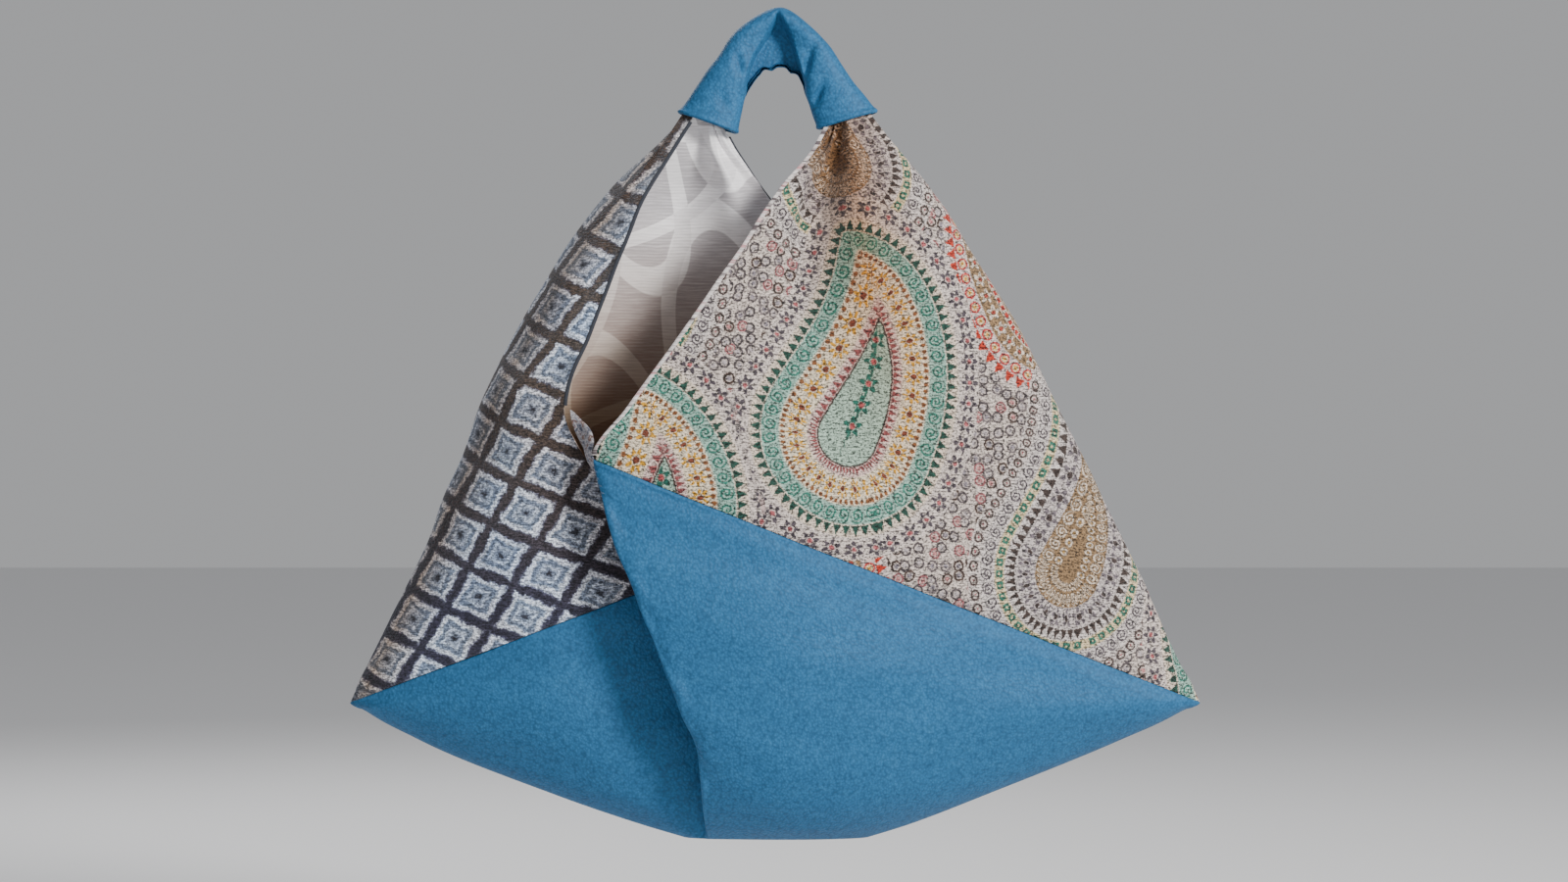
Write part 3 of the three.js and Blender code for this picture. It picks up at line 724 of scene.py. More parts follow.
def scatterRingsGroup():
    # rings strewn over the ground, each with its own number from 0 to 1
    tree, bench, given, out = newGroup("scatterRings", {"Cloth": None, "Pitch": 9.0},
                                       ["Ring", "Core", "Pick"])
    cells = bench.add("ShaderNodeTexVoronoi", voronoi_dimensions="2D", feature="F1")
    bench.put(cells.inputs["Vector"], given["Cloth"])
    bench.put(cells.inputs["Scale"], bench.over(1.0, given["Pitch"]))
    cells.inputs["Randomness"].default_value = 0.55
    reach = bench.times(cells.outputs["Distance"], given["Pitch"])
    ring = bench.size(bench.minus(reach, bench.times(given["Pitch"], 0.36)))
    bench.put(out["Ring"], under(bench, ring, 0.75))
    bench.put(out["Core"], under(bench, reach, bench.times(given["Pitch"], 0.2)))
    pick, _, _ = bench.split(cells.outputs["Color"])
    bench.put(out["Pick"], pick)
    return tree


rowTrees = {"beads": beadRowGroup(), "flowers": flowerRowGroup(), "blocks": blockRowGroup(),
            "scrolls": scrollRowGroup(), "teeth": toothRowGroup()}
scatterRings = scatterRingsGroup()

# what the measures of each kind of row are, in millimetres; a clear row has only the depth it starts at
rowMeasures = {
    "beads": ("Middle", "Pitch", "Radius", "Hole", "Core"),
    "flowers": ("Middle", "Pitch", "Radius", "Petals", "Core"),
    "blocks": ("Middle", "Pitch", "Along", "Across", "Hole"),
    "scrolls": ("Middle", "Pitch", "Radius"),
    "teeth": ("Middle", "Pitch", "Across"),
}
# the drop-figured cloth, row by row from a figure's outside to its middle
paisleyLook = {
    "ground": "d9d2ce",
    "cast": "faf1ea",
    "groundRings": [(0.0, "504b51"), (0.34, "706a6f"), (0.6, "43342f"), (0.8, "9c5f66")],
    "groundCores": [(0.0, "b9b4bb"), (0.4, "8f8b97"), (0.7, "c28a8c")],
    "foldShade": {"atFoot": 118.0, "lean": 0.17, "reach": 46.0, "strength": 0.9, "colour": "cfa98a"},
    "teal": [
        ("clear", -16.0, "dcd6d4"),
        ("flowers", (-9.4, 13.0, 5.8, 6.0, 1.6), ["55505a", "b4656c"]),
        ("clear", -1.6, "e6ddcf"),
        ("teeth", (2.4, 6.8, 3.5), ["214f45"]),
        ("clear", 6.6, "9cc6bd"),
        ("scrolls", (12.4, 11.4, 5.2), ["2b7b6d"]),
        ("clear", 18.4, "efe6cf"),
        ("beads", (20.8, 5.2, 1.7, 0.6, 0.1), ["8a5a34", "8a5a34", "8a5a34"]),
        ("flowers", (29.4, 15.6, 6.8, 8.0, 2.2), ["d9a52e", "7a3f2a"]),
        ("clear", 37.0, "e3cfcb"),
        ("teeth", (40.2, 5.8, 2.9), ["935154"]),
        ("clear", 43.6, "3f2b29"),
        ("clear", 44.8, "a9cabd"),
    ],
    # a stalk of flowers up a teal figure's middle
    "tealHeart": {"from": 45.2, "line": "2f6a5d",
                  "flowers": (0.0, 15.0, 6.4, 5.0, 2.0),
                  "colours": ["226a5d", "b4575b"]},
    "grey": [
        ("clear", -14.0, "dad6d6"),
        ("beads", (-9.6, 8.0, 3.2, 1.8, 0.8), ["4a3d3c", "dcd6d2", "a5606a"]),
        ("clear", -5.0, "d9d7d9"),
        ("scrolls", (0.0, 9.4, 4.2), ["55505a"]),
        ("clear", 5.0, "e2d5ae"),
        ("blocks", (8.4, 8.8, 2.9, 2.3, 1.2), ["2f7264", "e2d5ae"]),
        ("clear", 11.8, "d9d7d9"),
        ("teeth", (15.6, 7.0, 3.6), ["433936"]),
        ("clear", 19.8, "cbc7ca"),
        ("flowers", (26.6, 14.4, 6.4, 5.0, 2.2), ["75707a", "453b3b"]),
        ("clear", 33.4, "8f7758"),
        ("scrolls", (38.8, 9.6, 4.4), ["e0d8cc"]),
        ("beads", (46.6, 7.4, 2.7, 1.5, 0.6), ["e0d8cc", "8f7758", "c9a24a"]),
    ],
    "red": [
        ("clear", -13.0, "ddd5d4"),
        ("teeth", (-9.0, 7.6, 3.6), ["bf3b28"]),
        ("beads", (-1.0, 9.8, 3.9, 2.5, 1.2), ["c23a3c", "ecd9b2", "dca63f"]),
        ("clear", 4.0, "957c5c"),
        ("flowers", (10.2, 12.6, 5.4, 5.0, 1.5), ["e6dfd4", "a8433a"]),
        ("clear", 16.4, "ddd5c6"),
        ("blocks", (19.4, 6.2, 2.0, 1.9, 0.0), ["bd3422", "bd3422"]),
        ("clear", 22.4, "957c5c"),
        ("scrolls", (28.4, 10.0, 4.4), ["e6dfd4"]),
        ("beads", (37.0, 8.4, 3.1, 1.9, 0.8), ["ddd5c6", "957c5c", "bd3422"]),
    ],
}


def paintRows(bench, ground, figure, rows):
    # the rows are painted in order from the outside in
    depth, _, _ = bench.split(figure)
    colour = ground
    for kind, measures, colours in rows:
        if kind == "clear":
            colour = bench.blend(under(bench, measures, depth), colour, hexColour(colours))
            continue
        masks = bench.group(rowTrees[kind], Figure=figure, **dict(zip(rowMeasures[kind], measures)))
        for k, code in enumerate(colours):
            colour = bench.blend(masks[k], colour, hexColour(code))
    return colour


def paisleyMaterial():
    material, bench, shader = newMaterial("paisleyJacquard", 0.85, 0.3, 0.25, 0.4, "e9e2e0")
    look = paisleyLook
    cloth = bench.attribute("cloth")
    yarn = bench.group(wovenYarn, Cloth=cloth, Pitch=0.95, Slub=0.8)
    fray = bench.vector("SCALE", yarn["Drift"], scale=3.4)
    field = {n: bench.vector("ADD", bench.attribute(n), fray) for n in
             ("tealRim", "tealHeart", "greyRim", "redRim")}
    rings = bench.group(scatterRings, Cloth=bench.vector("ADD", cloth, fray), Pitch=8.6)
    colour = hexColour(look["ground"])
    for part, tints in (("Ring", "groundRings"), ("Core", "groundCores")):
        colour = bench.blend(rings[part], colour, bench.ramp(rings["Pick"], look[tints], "CONSTANT"))
    for kind in ("red", "grey", "teal"):
        colour = paintRows(bench, colour, field[kind + "Rim"], look[kind])
    heart = look["tealHeart"]
    depth, _, _ = bench.split(field["tealRim"])
    along, lateral, _ = bench.split(field["tealHeart"])
    within = under(bench, heart["from"], depth)
    stem = under(bench, bench.size(lateral), 0.9)
    colour = bench.blend(bench.times(stem, within), colour, hexColour(heart["line"]))
    stalk = bench.group(rowTrees["flowers"], Figure=bench.join(lateral, along),
                        **dict(zip(rowMeasures["flowers"], heart["flowers"])))
    for k, code in enumerate(heart["colours"]):
        colour = bench.blend(bench.times(stalk[k], within), colour, hexColour(code))
    threads = bench.ramp(yarn["Shade"], [(0.35, 0.1), (0.46, 0.6), (0.59, 1.12)])
    colour = bench.tint(bench.tint(colour, threads), hexColour(look["cast"]))
    # painted warm shade runs down the deep fold below the handle
    x, y, _ = bench.split(cloth)
    fold = look["foldShade"]
    aside = bench.scaleAdd(y, fold["lean"], bench.minus(x, fold["atFoot"]))
    beside = bench.minus(1.0, bench.over(bench.size(aside), fold["reach"]), clamp=True)
    lower = bench.ramp(bench.over(y, clothRuler), [(0.44, 0.0), (0.78, 1.0)])
    tint = bench.times(bench.times(beside, lower), fold["strength"])
    colour = bench.blend(tint, colour, bench.tint(colour, hexColour(fold["colour"])))
    bench.put(shader.inputs["Base Color"], colour)
    addBump(bench, shader, yarn["Height"], 0.85, 0.0013)
    return material


hemFlecks = [(0.36, "5e5457"), (0.44, "d8d0ce"), (0.56, "dcd6d4"), (0.62, "b9737a"), (0.66, "ddd6d4")]
# the corner tabs' cloth: mottled flecks darkened as painted shade
shadedTabFlecks = [(0.34, "3a4052"), (0.42, "767886"), (0.5, "a9a6a8"), (0.56, "8d8791"), (0.62, "6a4b40"),
             (0.7, "a89c95")]


def fleckedMaterial(name, flecking):
    material, bench, shader = newMaterial(name, 0.85, 0.3, 0.25, 0.4, "e9e2e0")
    cloth = bench.attribute("cloth")
    yarn = bench.group(wovenYarn, Cloth=cloth, Pitch=0.95, Slub=0.8)
    flecks = bench.noise(bench.vector("SCALE", cloth, scale=0.22), 1.0, 2.0, 0.6)
    colour = bench.ramp(flecks, flecking)
    threads = bench.ramp(yarn["Shade"], [(0.3, 0.6), (0.7, 1.15)])
    bench.put(shader.inputs["Base Color"], bench.tint(colour, threads))
    addBump(bench, shader, yarn["Height"], 0.8, 0.001)
    return material


blueLeather = blueLeatherMaterial()
squaresJacquard = squaresMaterial()
paisleyJacquard = paisleyMaterial()
silverLining = liningMaterial()
blackPiping = pipingMaterial()
wovenHem = fleckedMaterial("wovenHem", hemFlecks)
shadedTabWeave = fleckedMaterial("shadedTabWeave", shadedTabFlecks)
stitchThread, _, threadShader = newMaterial("stitchThread", 0.6, 0.4, 0.2)
threadShader.inputs["Base Color"].default_value = hexColour("3a5a78")
print("materials ready:", len(bpy.data.materials))

# Cloth forms

clothForm = {
    "outside": 0.8,  # of a woven wall, from the middle surface
    "inside": -0.5,
    "liningOutside": -1.1,
    "liningInside": -1.7,
    "seamPinch": 1.3,  # how far the cloth sinks where it is sewn to the leather
    "seamPinchReach": 5.0,
    "seamRidge": 0.7,  # the low ridge beside that, how far off it is and how wide
    "seamRidgeAt": 13,
    "seamRidgeReach": 7.0,
    "edge": 0.25,
    "halfGap": 2.2,  # kept clear of the plane between the front and back halves
    "tuck": 12.0,
    "foldFull": 20,  # below the sleeve a fold is at its deepest here, and it fades inside the sleeve
    "foldFade": (12, 4, 0.8),
    "tipTurn": math.radians(60.0),  # slope of a peak's outer edge in the flat cloth
}

# soft folds that run down from the handle: where along the path, how wide, how deep, and how far down
gatherFolds = [
    (6.9, 0.25, -3.0, 405),
    (7.6, 0.3, 3.4, 300),
    (8.2, 0.27, -8.5, 230),
    (8.75, 0.25, 3.4, 290),
    (9.2, 0.22, -1.8, 390),
    (11.4, 0.3, -3.0, 330),
    (12.1, 0.25, 2.4, 390),
    (16.9, 0.25, -3.0, 405),
    (17.5, 0.35, 2.6, 340),
    (18.15, 0.24, -5.5, 330),
    (18.8, 0.3, 2.0, 360),
    (21.2, 0.3, -2.2, 380),
    (22.1, 0.25, 1.4, 420),
]
# slow swells of the hanging cloth and leather
slowSwells = [
    {"acrossWaves": 1.7, "upWaves": 0.011, "turn": 0.3, "depth": 0.9},
    {"acrossWaves": 2.9, "upWaves": -0.017, "turn": 1.9, "depth": 0.55},
    {"acrossWaves": 4.3, "upWaves": 0.029, "turn": 4.1, "depth": 0.3},
]


def softness(w, z, seam):
    # how far the wall stands off its plain form, in millimetres
    lift = np.zeros(np.broadcast(w, z).shape)
    turn, top = np.mod(w, bagForm["ringLength"]), bagForm["bodyHeight"]
    below, above, share = clothForm["foldFade"]
    fade = 1 - smooth(z, top - below, top + above) * share
    for place, width, depth, bottom in gatherFolds:
        side = (turn - place) / width
        strength = smooth(z, bottom, top - clothForm["foldFull"]) * fade
        lift += depth * np.exp(-side * side) * strength
    outerEdge = np.abs(np.mod(turn + 5, 10) - 5)
    calm = smooth(z, 4, 60) * (1 - smooth(z, 430, 480)) * (1 - 0.75 * np.exp(-(outerEdge / 0.6) ** 2))
    for swell in slowSwells:
        phase = swell["acrossWaves"] * w * 2 * math.pi / 10 * 2
        phase = phase + swell["upWaves"] * z * 2 * math.pi + swell["turn"]
        lift += swell["depth"] * np.sin(phase) * calm
    away = np.abs(z - seam)
    lift -= clothForm["seamPinch"] * np.exp(-(away / clothForm["seamPinchReach"]) ** 2)
    fromRidge = (away - clothForm["seamRidgeAt"]) / clothForm["seamRidgeReach"]
    lift += clothForm["seamRidge"] * np.exp(-fromRidge ** 2)
    return lift


def wallPoints(w, z, seam, offset):
    # a fold sinks no further than its own half of the bag has room for
    plain = bagSurface(w, z)
    room = np.maximum(np.abs(plain[..., 1]) - clothForm["halfGap"], 0.05)
    lift = softness(w, z, seam)
    lift = np.where(lift < 0, -room * np.tanh(-lift / room), lift)
    return plain + surfaceNormal(w, z) * (lift + offset)[..., None]


def clothPlaces(w, z, silhouettePlace, facing, turned=True):
    # each point's place in the flat cloth: the front half as seen, the back half turned over the outer edge
    steps = np.linspace(0, 1, 24)
    spread = np.zeros(w.shape)
    for i in range(w.shape[0]):
        away = w[i] - silhouettePlace
        line = bagSurface(silhouettePlace + away[:, None] * steps, z[i][:, None])
        spread[i] = np.linalg.norm(np.diff(line, axis=1), axis=-1).sum(1) * np.sign(away)
    start = bagSurface(np.full(w.shape, silhouettePlace), z)
    front = spread * facing
    tangent = np.array([math.cos(clothForm["tipTurn"]) * facing, math.sin(clothForm["tipTurn"])])
    level = np.array([1.0, 0.0]) * facing
    back = 2 * np.dot(tangent, level) * tangent - level if turned else level
    flat = np.zeros((*w.shape, 3))
    flat[..., 0] = start[..., 0] + np.where(front > 0, front * level[0], -front * back[0])
    flat[..., 1] = z + np.where(front > 0, 0, -front * back[1])
    return flat


def sheetWall(name, span, rows, bottom, top, offsets, silhouettePlace, facing, material, slot, node):
    # a woven or lining wall with both faces and its edges closed
    columns = span[2]
    w = np.linspace(span[0], span[1], columns)
    seam = seamHeight(w)
    low, high = bottom(w, seam), top(w)
    share = np.linspace(0, 1, rows)
    wGrid = np.repeat(w[:, None], rows, 1)
    zGrid = low[:, None] + (high - low)[:, None] * share[None, :]
    seamGrid = np.repeat(seam[:, None], rows, 1)
    outer = wallPoints(wGrid, zGrid, seamGrid, offsets[0])
    inner = wallPoints(wGrid, zGrid, seamGrid, offsets[1])
    points, faces, n = twoSkins(outer, inner, columns, rows)
    loop = [i * rows for i in range(columns)] + [(columns - 1) * rows + j for j in range(1, rows)]
    loop += [i * rows + rows - 1 for i in range(columns - 2, -1, -1)] + list(range(rows - 2, 0, -1))
    for a, b in zip(loop, loop[1:] + loop[:1]):
        faces.append([a, a + n, b + n, b])
    piece = makeMesh(name, points, faces, [material], slot, node)
    flat = clothPlaces(wGrid, zGrid, silhouettePlace, facing, slot != "silver_lining")
    addVectorField(piece, "cloth", np.concatenate([flat.reshape(-1, 3)] * 2))
    return piece, flat, outer


# Where the woven figures lie, in the flat cloth's millimetres (x to the right, y up from the lowest point)

# drop figures in a half-drop repeat: every other column starts half a step lower, and the figures turn
# to the left and to the right by turns
dropRepeat = {
    "start": (-110.0, 176.0),
    "step": (146.0, 180.0),
    "columns": 5,
    "rows": 3,
    "lean": 60.0,
    "bend": 74.0,
    "kinds": ("teal", "grey", "red"),
}
dropShape = {"curl": 1.4, "taper": 0.72, "belly": 0.62}
dropSizes = {"teal": (64.0, 150.0), "grey": (56.0, 134.0), "red": (52.0, 128.0)}
dropFigures = {kind: [] for kind in dropRepeat["kinds"]}
for column in range(dropRepeat["columns"]):
    for row in range(dropRepeat["rows"]):
        kind = dropRepeat["kinds"][(2 * column + row) % 3]
        turn = 1 if (column + row) % 2 == 0 else -1
        lower = 0.5 * (column % 2)
        dropFigures[kind].append({
            "middle": (dropRepeat["start"][0] + column * dropRepeat["step"][0],
                       dropRepeat["start"][1] + (row - lower) * dropRepeat["step"][1]),
            "radius": dropSizes[kind][0],
            "length": dropSizes[kind][1],
            "heading": 90.0 - turn * (90.0 - dropRepeat["lean"]),
            "bend": turn * dropRepeat["bend"],
        })


def spineLine(spec, steps=50):
    t = np.linspace(0, 1, steps)
    heading = np.radians(spec["heading"] + spec["bend"] * t ** dropShape["curl"])
    line = np.cumsum(np.stack([np.cos(heading), np.sin(heading)], 1) * spec["length"] / (steps - 1), 0)
    return t, line - line[0] + np.array(spec["middle"])


def dropOutline(spec):
    # from the pointed tip down one side, round the full end and up the other side
    t, spine = spineLine(spec)
    ahead = unit(np.gradient(spine, axis=0))
    aside = np.stack([-ahead[:, 1], ahead[:, 0]], 1)
    width = spec["radius"] * (1 - t) ** dropShape["taper"] * (1 + dropShape["belly"] * t)
    left, right = spine + aside * width[:, None], spine - aside * width[:, None]
    turns = np.linspace(0.5 * math.pi, 1.5 * math.pi, 44)[1:-1, None]
    full = spine[0] + spec["radius"] * (np.cos(turns) * ahead[0] + np.sin(turns) * aside[0])
    return np.concatenate([left[::-1], full, right]), spine


def nearestOn(line, points):
    # distance to a line, place along it, signed side, and whether the point is inside the closed line
    a, b = line[:-1], line[1:]
    ab = b - a
    lengths = np.maximum(np.linalg.norm(ab, axis=1), 1e-9)
    starts = np.concatenate([[0], np.cumsum(lengths)[:-1]])
    made = []
    for part in np.array_split(points, max(1, len(points) // 4000)):
        ap = part[:, None] - a[None]
        share = np.clip((ap * ab).sum(-1) / lengths ** 2, 0, 1)
        gap = np.linalg.norm(ap - share[..., None] * ab, axis=-1)
        k = gap.argmin(1)
        rows = np.arange(len(part))
        side = ab[k, 0] * ap[rows, k, 1] - ab[k, 1] * ap[rows, k, 0]
        above = (a[None, :, 1] > part[:, None, 1]) != (b[None, :, 1] > part[:, None, 1])
        rise = np.where(np.abs(ab[:, 1]) < 1e-9, 1e-9, ab[:, 1])
        crossing = a[None, :, 0] + (part[:, None, 1] - a[None, :, 1]) / rise * ab[:, 0]
        inside = (above & (part[:, None, 0] < crossing)).sum(1) % 2
        along = starts[k] + share[rows, k] * lengths[k]
        made.append(np.stack([gap[rows, k], along, np.sign(side), inside], 1))
    return np.concatenate(made), lengths.sum()


def addFigures(piece, flat):
    points = flat.reshape(-1, 3)[:, :2]
    for kind, drops in dropFigures.items():
        rim = np.full((len(points), 3), -400.0)
        heart = np.zeros((len(points), 3))
        for drop in drops:
            outline, spine = dropOutline(drop)
            found, whole = nearestOn(np.concatenate([outline, outline[:1]]), points)
            depth = np.where(found[:, 3] > 0, found[:, 0], -found[:, 0])
            along = np.minimum(found[:, 1], whole - found[:, 1])
            inner, length = nearestOn(spine, points)
            better = depth > rim[:, 0]
            rim[better, 0] = depth[better]
            rim[better, 1] = along[better]
            heart[better, 0] = (length - inner[:, 1])[better]
            heart[better, 1] = (inner[:, 0] * inner[:, 2])[better]
        addVectorField(piece, kind + "Rim", np.concatenate([rim] * 2))
        if kind == "teal":
            addVectorField(piece, kind + "Heart", np.concatenate([heart] * 2))


def overSeam(w, seam):
    return seam + 0.4


peakTop = lambda w: np.full(np.shape(w), bagForm["bodyHeight"] + clothForm["tuck"])
edge = clothForm["edge"]
peakPieces = {
    "leftPeak": {
        "span": (16 + edge, 23 - edge, 236),  # from where to where along the path, and how many columns
        "silhouette": 20.0,
        "facing": 1.0,
        "node": "left_peak_panel",
        "slot": "squares_jacquard",
        "material": squaresJacquard,
    },
    "rightPeak": {
        "span": (6 + edge, 13 - edge, 236),
        "silhouette": 10.0,
        "facing": -1.0,
        "node": "right_peak_panel",
        "slot": "paisley_jacquard",
        "material": paisleyJacquard,
    },
}
built = {}
for name, spec in peakPieces.items():
    built[name], spec["flat"], spec["outer"] = sheetWall(
        name, spec["span"], 190, overSeam, peakTop, (clothForm["outside"], clothForm["inside"]),
        spec["silhouette"], spec["facing"], spec["material"], spec["slot"], spec["node"])
    if name == "rightPeak":
        addFigures(built[name], spec["flat"])
    lining = name.replace("Peak", "Lining")
    built[lining], _, _ = sheetWall(
        lining, (spec["span"][0] + 0.02, spec["span"][1] - 0.02, 130), 110, overSeam, peakTop,
        (clothForm["liningOutside"], clothForm["liningInside"]), spec["silhouette"], spec["facing"],
        silverLining, "silver_lining", spec["node"].replace("panel", "lining"))
print("peaks and linings:", sum(len(built[n].data.polygons) for n in built), "faces")


leatherForm = {"outside": 0.9, "inside": -0.9, "columns": 400, "rows": 92, "rollHeight": 3.4, "rollOut": 0.9}


def buildBase():
    form, columns, rows = leatherForm, leatherForm["columns"], leatherForm["rows"]
    w = np.arange(columns) * bagForm["ringLength"] / columns
    seam = seamHeight(w)
    share = np.concatenate([np.linspace(0, 1, rows - 8) ** 1.35 * 0.985, np.linspace(0.985, 1, 9)[1:]])
    wGrid = np.repeat(w[:, None], rows, 1)
    zGrid = (seam + 0.1)[:, None] * share[None, :]
    seamGrid = np.repeat(seam[:, None], rows, 1)
    nearEdge = np.clip(1 - (seamGrid - zGrid) / form["rollHeight"], 0, 1)
    # the turned edge of the leather
    roll = form["rollOut"] * np.sqrt(np.clip(1 - (2 * nearEdge - 1) ** 2, 0, 1))
    outer = wallPoints(wGrid, zGrid, seamGrid, form["outside"] + roll)
    inner = wallPoints(wGrid, np.maximum(zGrid, 1.8), seamGrid, form["inside"])
    flat, faces, n = twoSkins(outer, inner, columns, rows, ring=True)
    points = flat.copy()
    points[:, 2] = np.maximum(points[:, 2], 0.0)
    for i in range(columns):
        a, b = i * rows + rows - 1, ((i + 1) % columns) * rows + rows - 1
        faces.append([a, b, b + n, a + n])
    outline = [i * rows for i in range(columns)]
    faces.append(outline[::-1])
    faces.append([k + n for k in outline])
    base = makeMesh("leatherBase", points, faces, [blueLeather, silverLining], "blue_leather", "base_panel")
    quads = columns * (rows - 1)
    insideFaces = np.zeros(len(faces), np.int32)
    insideFaces[quads:2 * quads] = 1
    insideFaces[-1] = 1
    base.data.polygons.foreach_set("material_index", insideFaces)
    addVectorField(base, "cloth", flat[:, [0, 2, 1]])
    return base


built["base"] = buildBase()
print("base:", len(built["base"].data.polygons), "faces")


def buildCornerTab(name, turn, node, slot):
    bottom = lambda w, seam: seam + 0.6
    top = lambda w: rimHeight(w - turn)
    piece, _, _ = sheetWall(name, (3 + turn + 0.3, 6 + turn - 0.2, 60), 26, bottom, top,
                            (clothForm["outside"], clothForm["inside"]), 10.0 + turn, -1.0,
                            shadedTabWeave, slot, node)
    return piece


built["frontTab"] = buildCornerTab("frontCornerTab", 0.0, "front_corner_tab", "paisley_jacquard")
built["backTab"] = buildCornerTab("backCornerTab", 10.0, "back_corner_tab", "squares_jacquard")


def ringFaces(count, sides, start=0):
    # a tube's sides from ring to ring, then its two ends
    faces = []
    for i in range(count - 1):
        a, b = start + i * sides, start + (i + 1) * sides
        for k in range(sides):
            n = (k + 1) % sides
            faces.append([a + k, a + n, b + n, b + k])
    faces.append([start + k for k in range(sides)][::-1])
    faces.append([start + (count - 1) * sides + k for k in range(sides)])
    return faces


def tubeAlong(name, path, radii, sides, material, slot, node=None, flatten=None):
    # a tube with a round or flattened section along a path in millimetres, its ends closed
    path = np.asarray(path, float)
    count = len(path)
    tangent = unit(np.gradient(path, axis=0))
    side = unit(np.cross(tangent, (0.0, 1.0, 0.0)) if flatten is None else flatten)
    other = unit(np.cross(side, tangent))
    turns = np.linspace(0, 2 * math.pi, sides, endpoint=False)
    radii = np.broadcast_to(np.asarray(radii, float), (count, 2))
    rings = (path[:, None, :] + side[:, None, :] * (np.cos(turns)[None, :, None] * radii[:, 0][:, None, None])
             + other[:, None, :] * (np.sin(turns)[None, :, None] * radii[:, 1][:, None, None]))
    return makeMesh(name, rings.reshape(-1, 3), ringFaces(count, sides), [material], slot, node)


noSeam = -100.0  # a seam height too far off to pinch the wall


def freeEdge(place, low, high, steps, aside):
    # points along a free edge, set off along the wall
    z = np.linspace(low, high, steps)
    w = np.full(steps, place)
    beside = unit(bagSurface(w + 0.05 * np.sign(aside), z) - bagSurface(w, z))
    return wallPoints(w, z, noSeam, 0.0) + beside * abs(aside), beside


pipingForm = {"radius": 1.3, "frontDrop": 4.0, "backDrop": 13.0, "clear": 1.0}
for name, place, aside, drop, node in (("frontPiping", 23 - edge, 1, "frontDrop", "front_piping"),
                                       ("backPiping", 16 + edge, -1, "backDrop", "back_piping")):
    low = bagForm["lipHeight"] + 2 if aside > 0 else bagForm["valleyHeight"] + 12
    path, _ = freeEdge(place, low, bagForm["bodyHeight"] - pipingForm[drop], 120, aside * pipingForm["clear"])
    built[name] = tubeAlong(name, path, (pipingForm["radius"],) * 2, 12, blackPiping, "black_piping", node)

hemForm = {"wide": 1.9, "thick": 0.95, "clear": 1.3}
for name, place, aside, low, drop in (("frontHem", 6 + edge, -1, bagForm["valleyHeight"] + 3, 3.0),
                                      ("backHem", 13 - edge, 1, bagForm["lipHeight"] - 2, 3.0)):
    path, beside = freeEdge(place, low, bagForm["bodyHeight"] - drop, 140, aside * hemForm["clear"])
    built[name] = tubeAlong(name, path, (hemForm["wide"], hemForm["thick"]), 12, wovenHem, "paisley_jacquard",
                            flatten=beside)
    addVectorField(built[name], "cloth", path.repeat(12, 0)[:, [0, 2, 1]])

stitchForm = {"long": 3.0, "radius": 0.45, "gap": 4.6, "count": 4, "place": 6.16, "top": 243.5, "out": 1.6}


def buildStitches():
    form, points, faces = stitchForm, [], []
    ring = np.linspace(0, 2 * math.pi, 8, endpoint=False)
    for turn in (0, 10):
        for k in range(form["count"]):
            z = form["top"] - k * form["gap"]
            w = np.array([form["place"] + turn - 0.01, form["place"] + turn, form["place"] + turn + 0.01])
            near = wallPoints(w, np.full(3, z), noSeam, form["out"])
            ahead, out = unit(near[2] - near[0]), unit(surfaceNormal(w[1:2], np.array([z])))[0]
            aside = np.cross(ahead, out)
            start = len(points)
            for share in np.linspace(-0.5, 0.5, 7):
                thick = form["radius"] * math.sqrt(max(0.05, 1 - (2 * share) ** 4))
                middle = near[1] + (ahead + 0.35 * aside) * share * form["long"]
                middle = middle - out * (2 * share) ** 2 * 0.5
                points.extend(middle + (out * math.cos(a) + aside * math.sin(a)) * thick for a in ring)
            faces += ringFaces(7, 8, start)
    return makeMesh("cornerStitches", np.array(points), faces, [stitchThread], "blue_leather")


built["stitches"] = buildStitches()
print("tabs, piping, hems and stitches ready")


# the sharp fold under the top of the handle, as its left and right edge at each height, and the soft pinches
sleeveNotch = {
    "heights": (549.0, 541.0, 533.0, 519.0, 508.0, 500.0),
    "left": (0.6, -1.5, -5.0, -14.0, -18.0, -19.5),
    "right": (2.0, 6.2, 10.4, 14.3, 17.6, 20.0),
    "edge": 3.2,
    "start": 2.5,
    "deep": 24.0,
}
sleevePinches = [
    {"place": (21.5, 512.0), "length": 9.0, "width": 2.4, "lean": 14.0, "depth": 4.5},
    {"place": (28.5, 492.0), "length": 8.0, "width": 2.8, "lean": 24.0, "depth": 4.0},
    {"place": (-24.0, 512.0), "length": 7.0, "width": 2.6, "lean": -10.0, "depth": 2.2},
    {"place": (-34.0, 487.0), "length": 8.0, "width": 4.0, "lean": -30.0, "depth": 1.4},
]


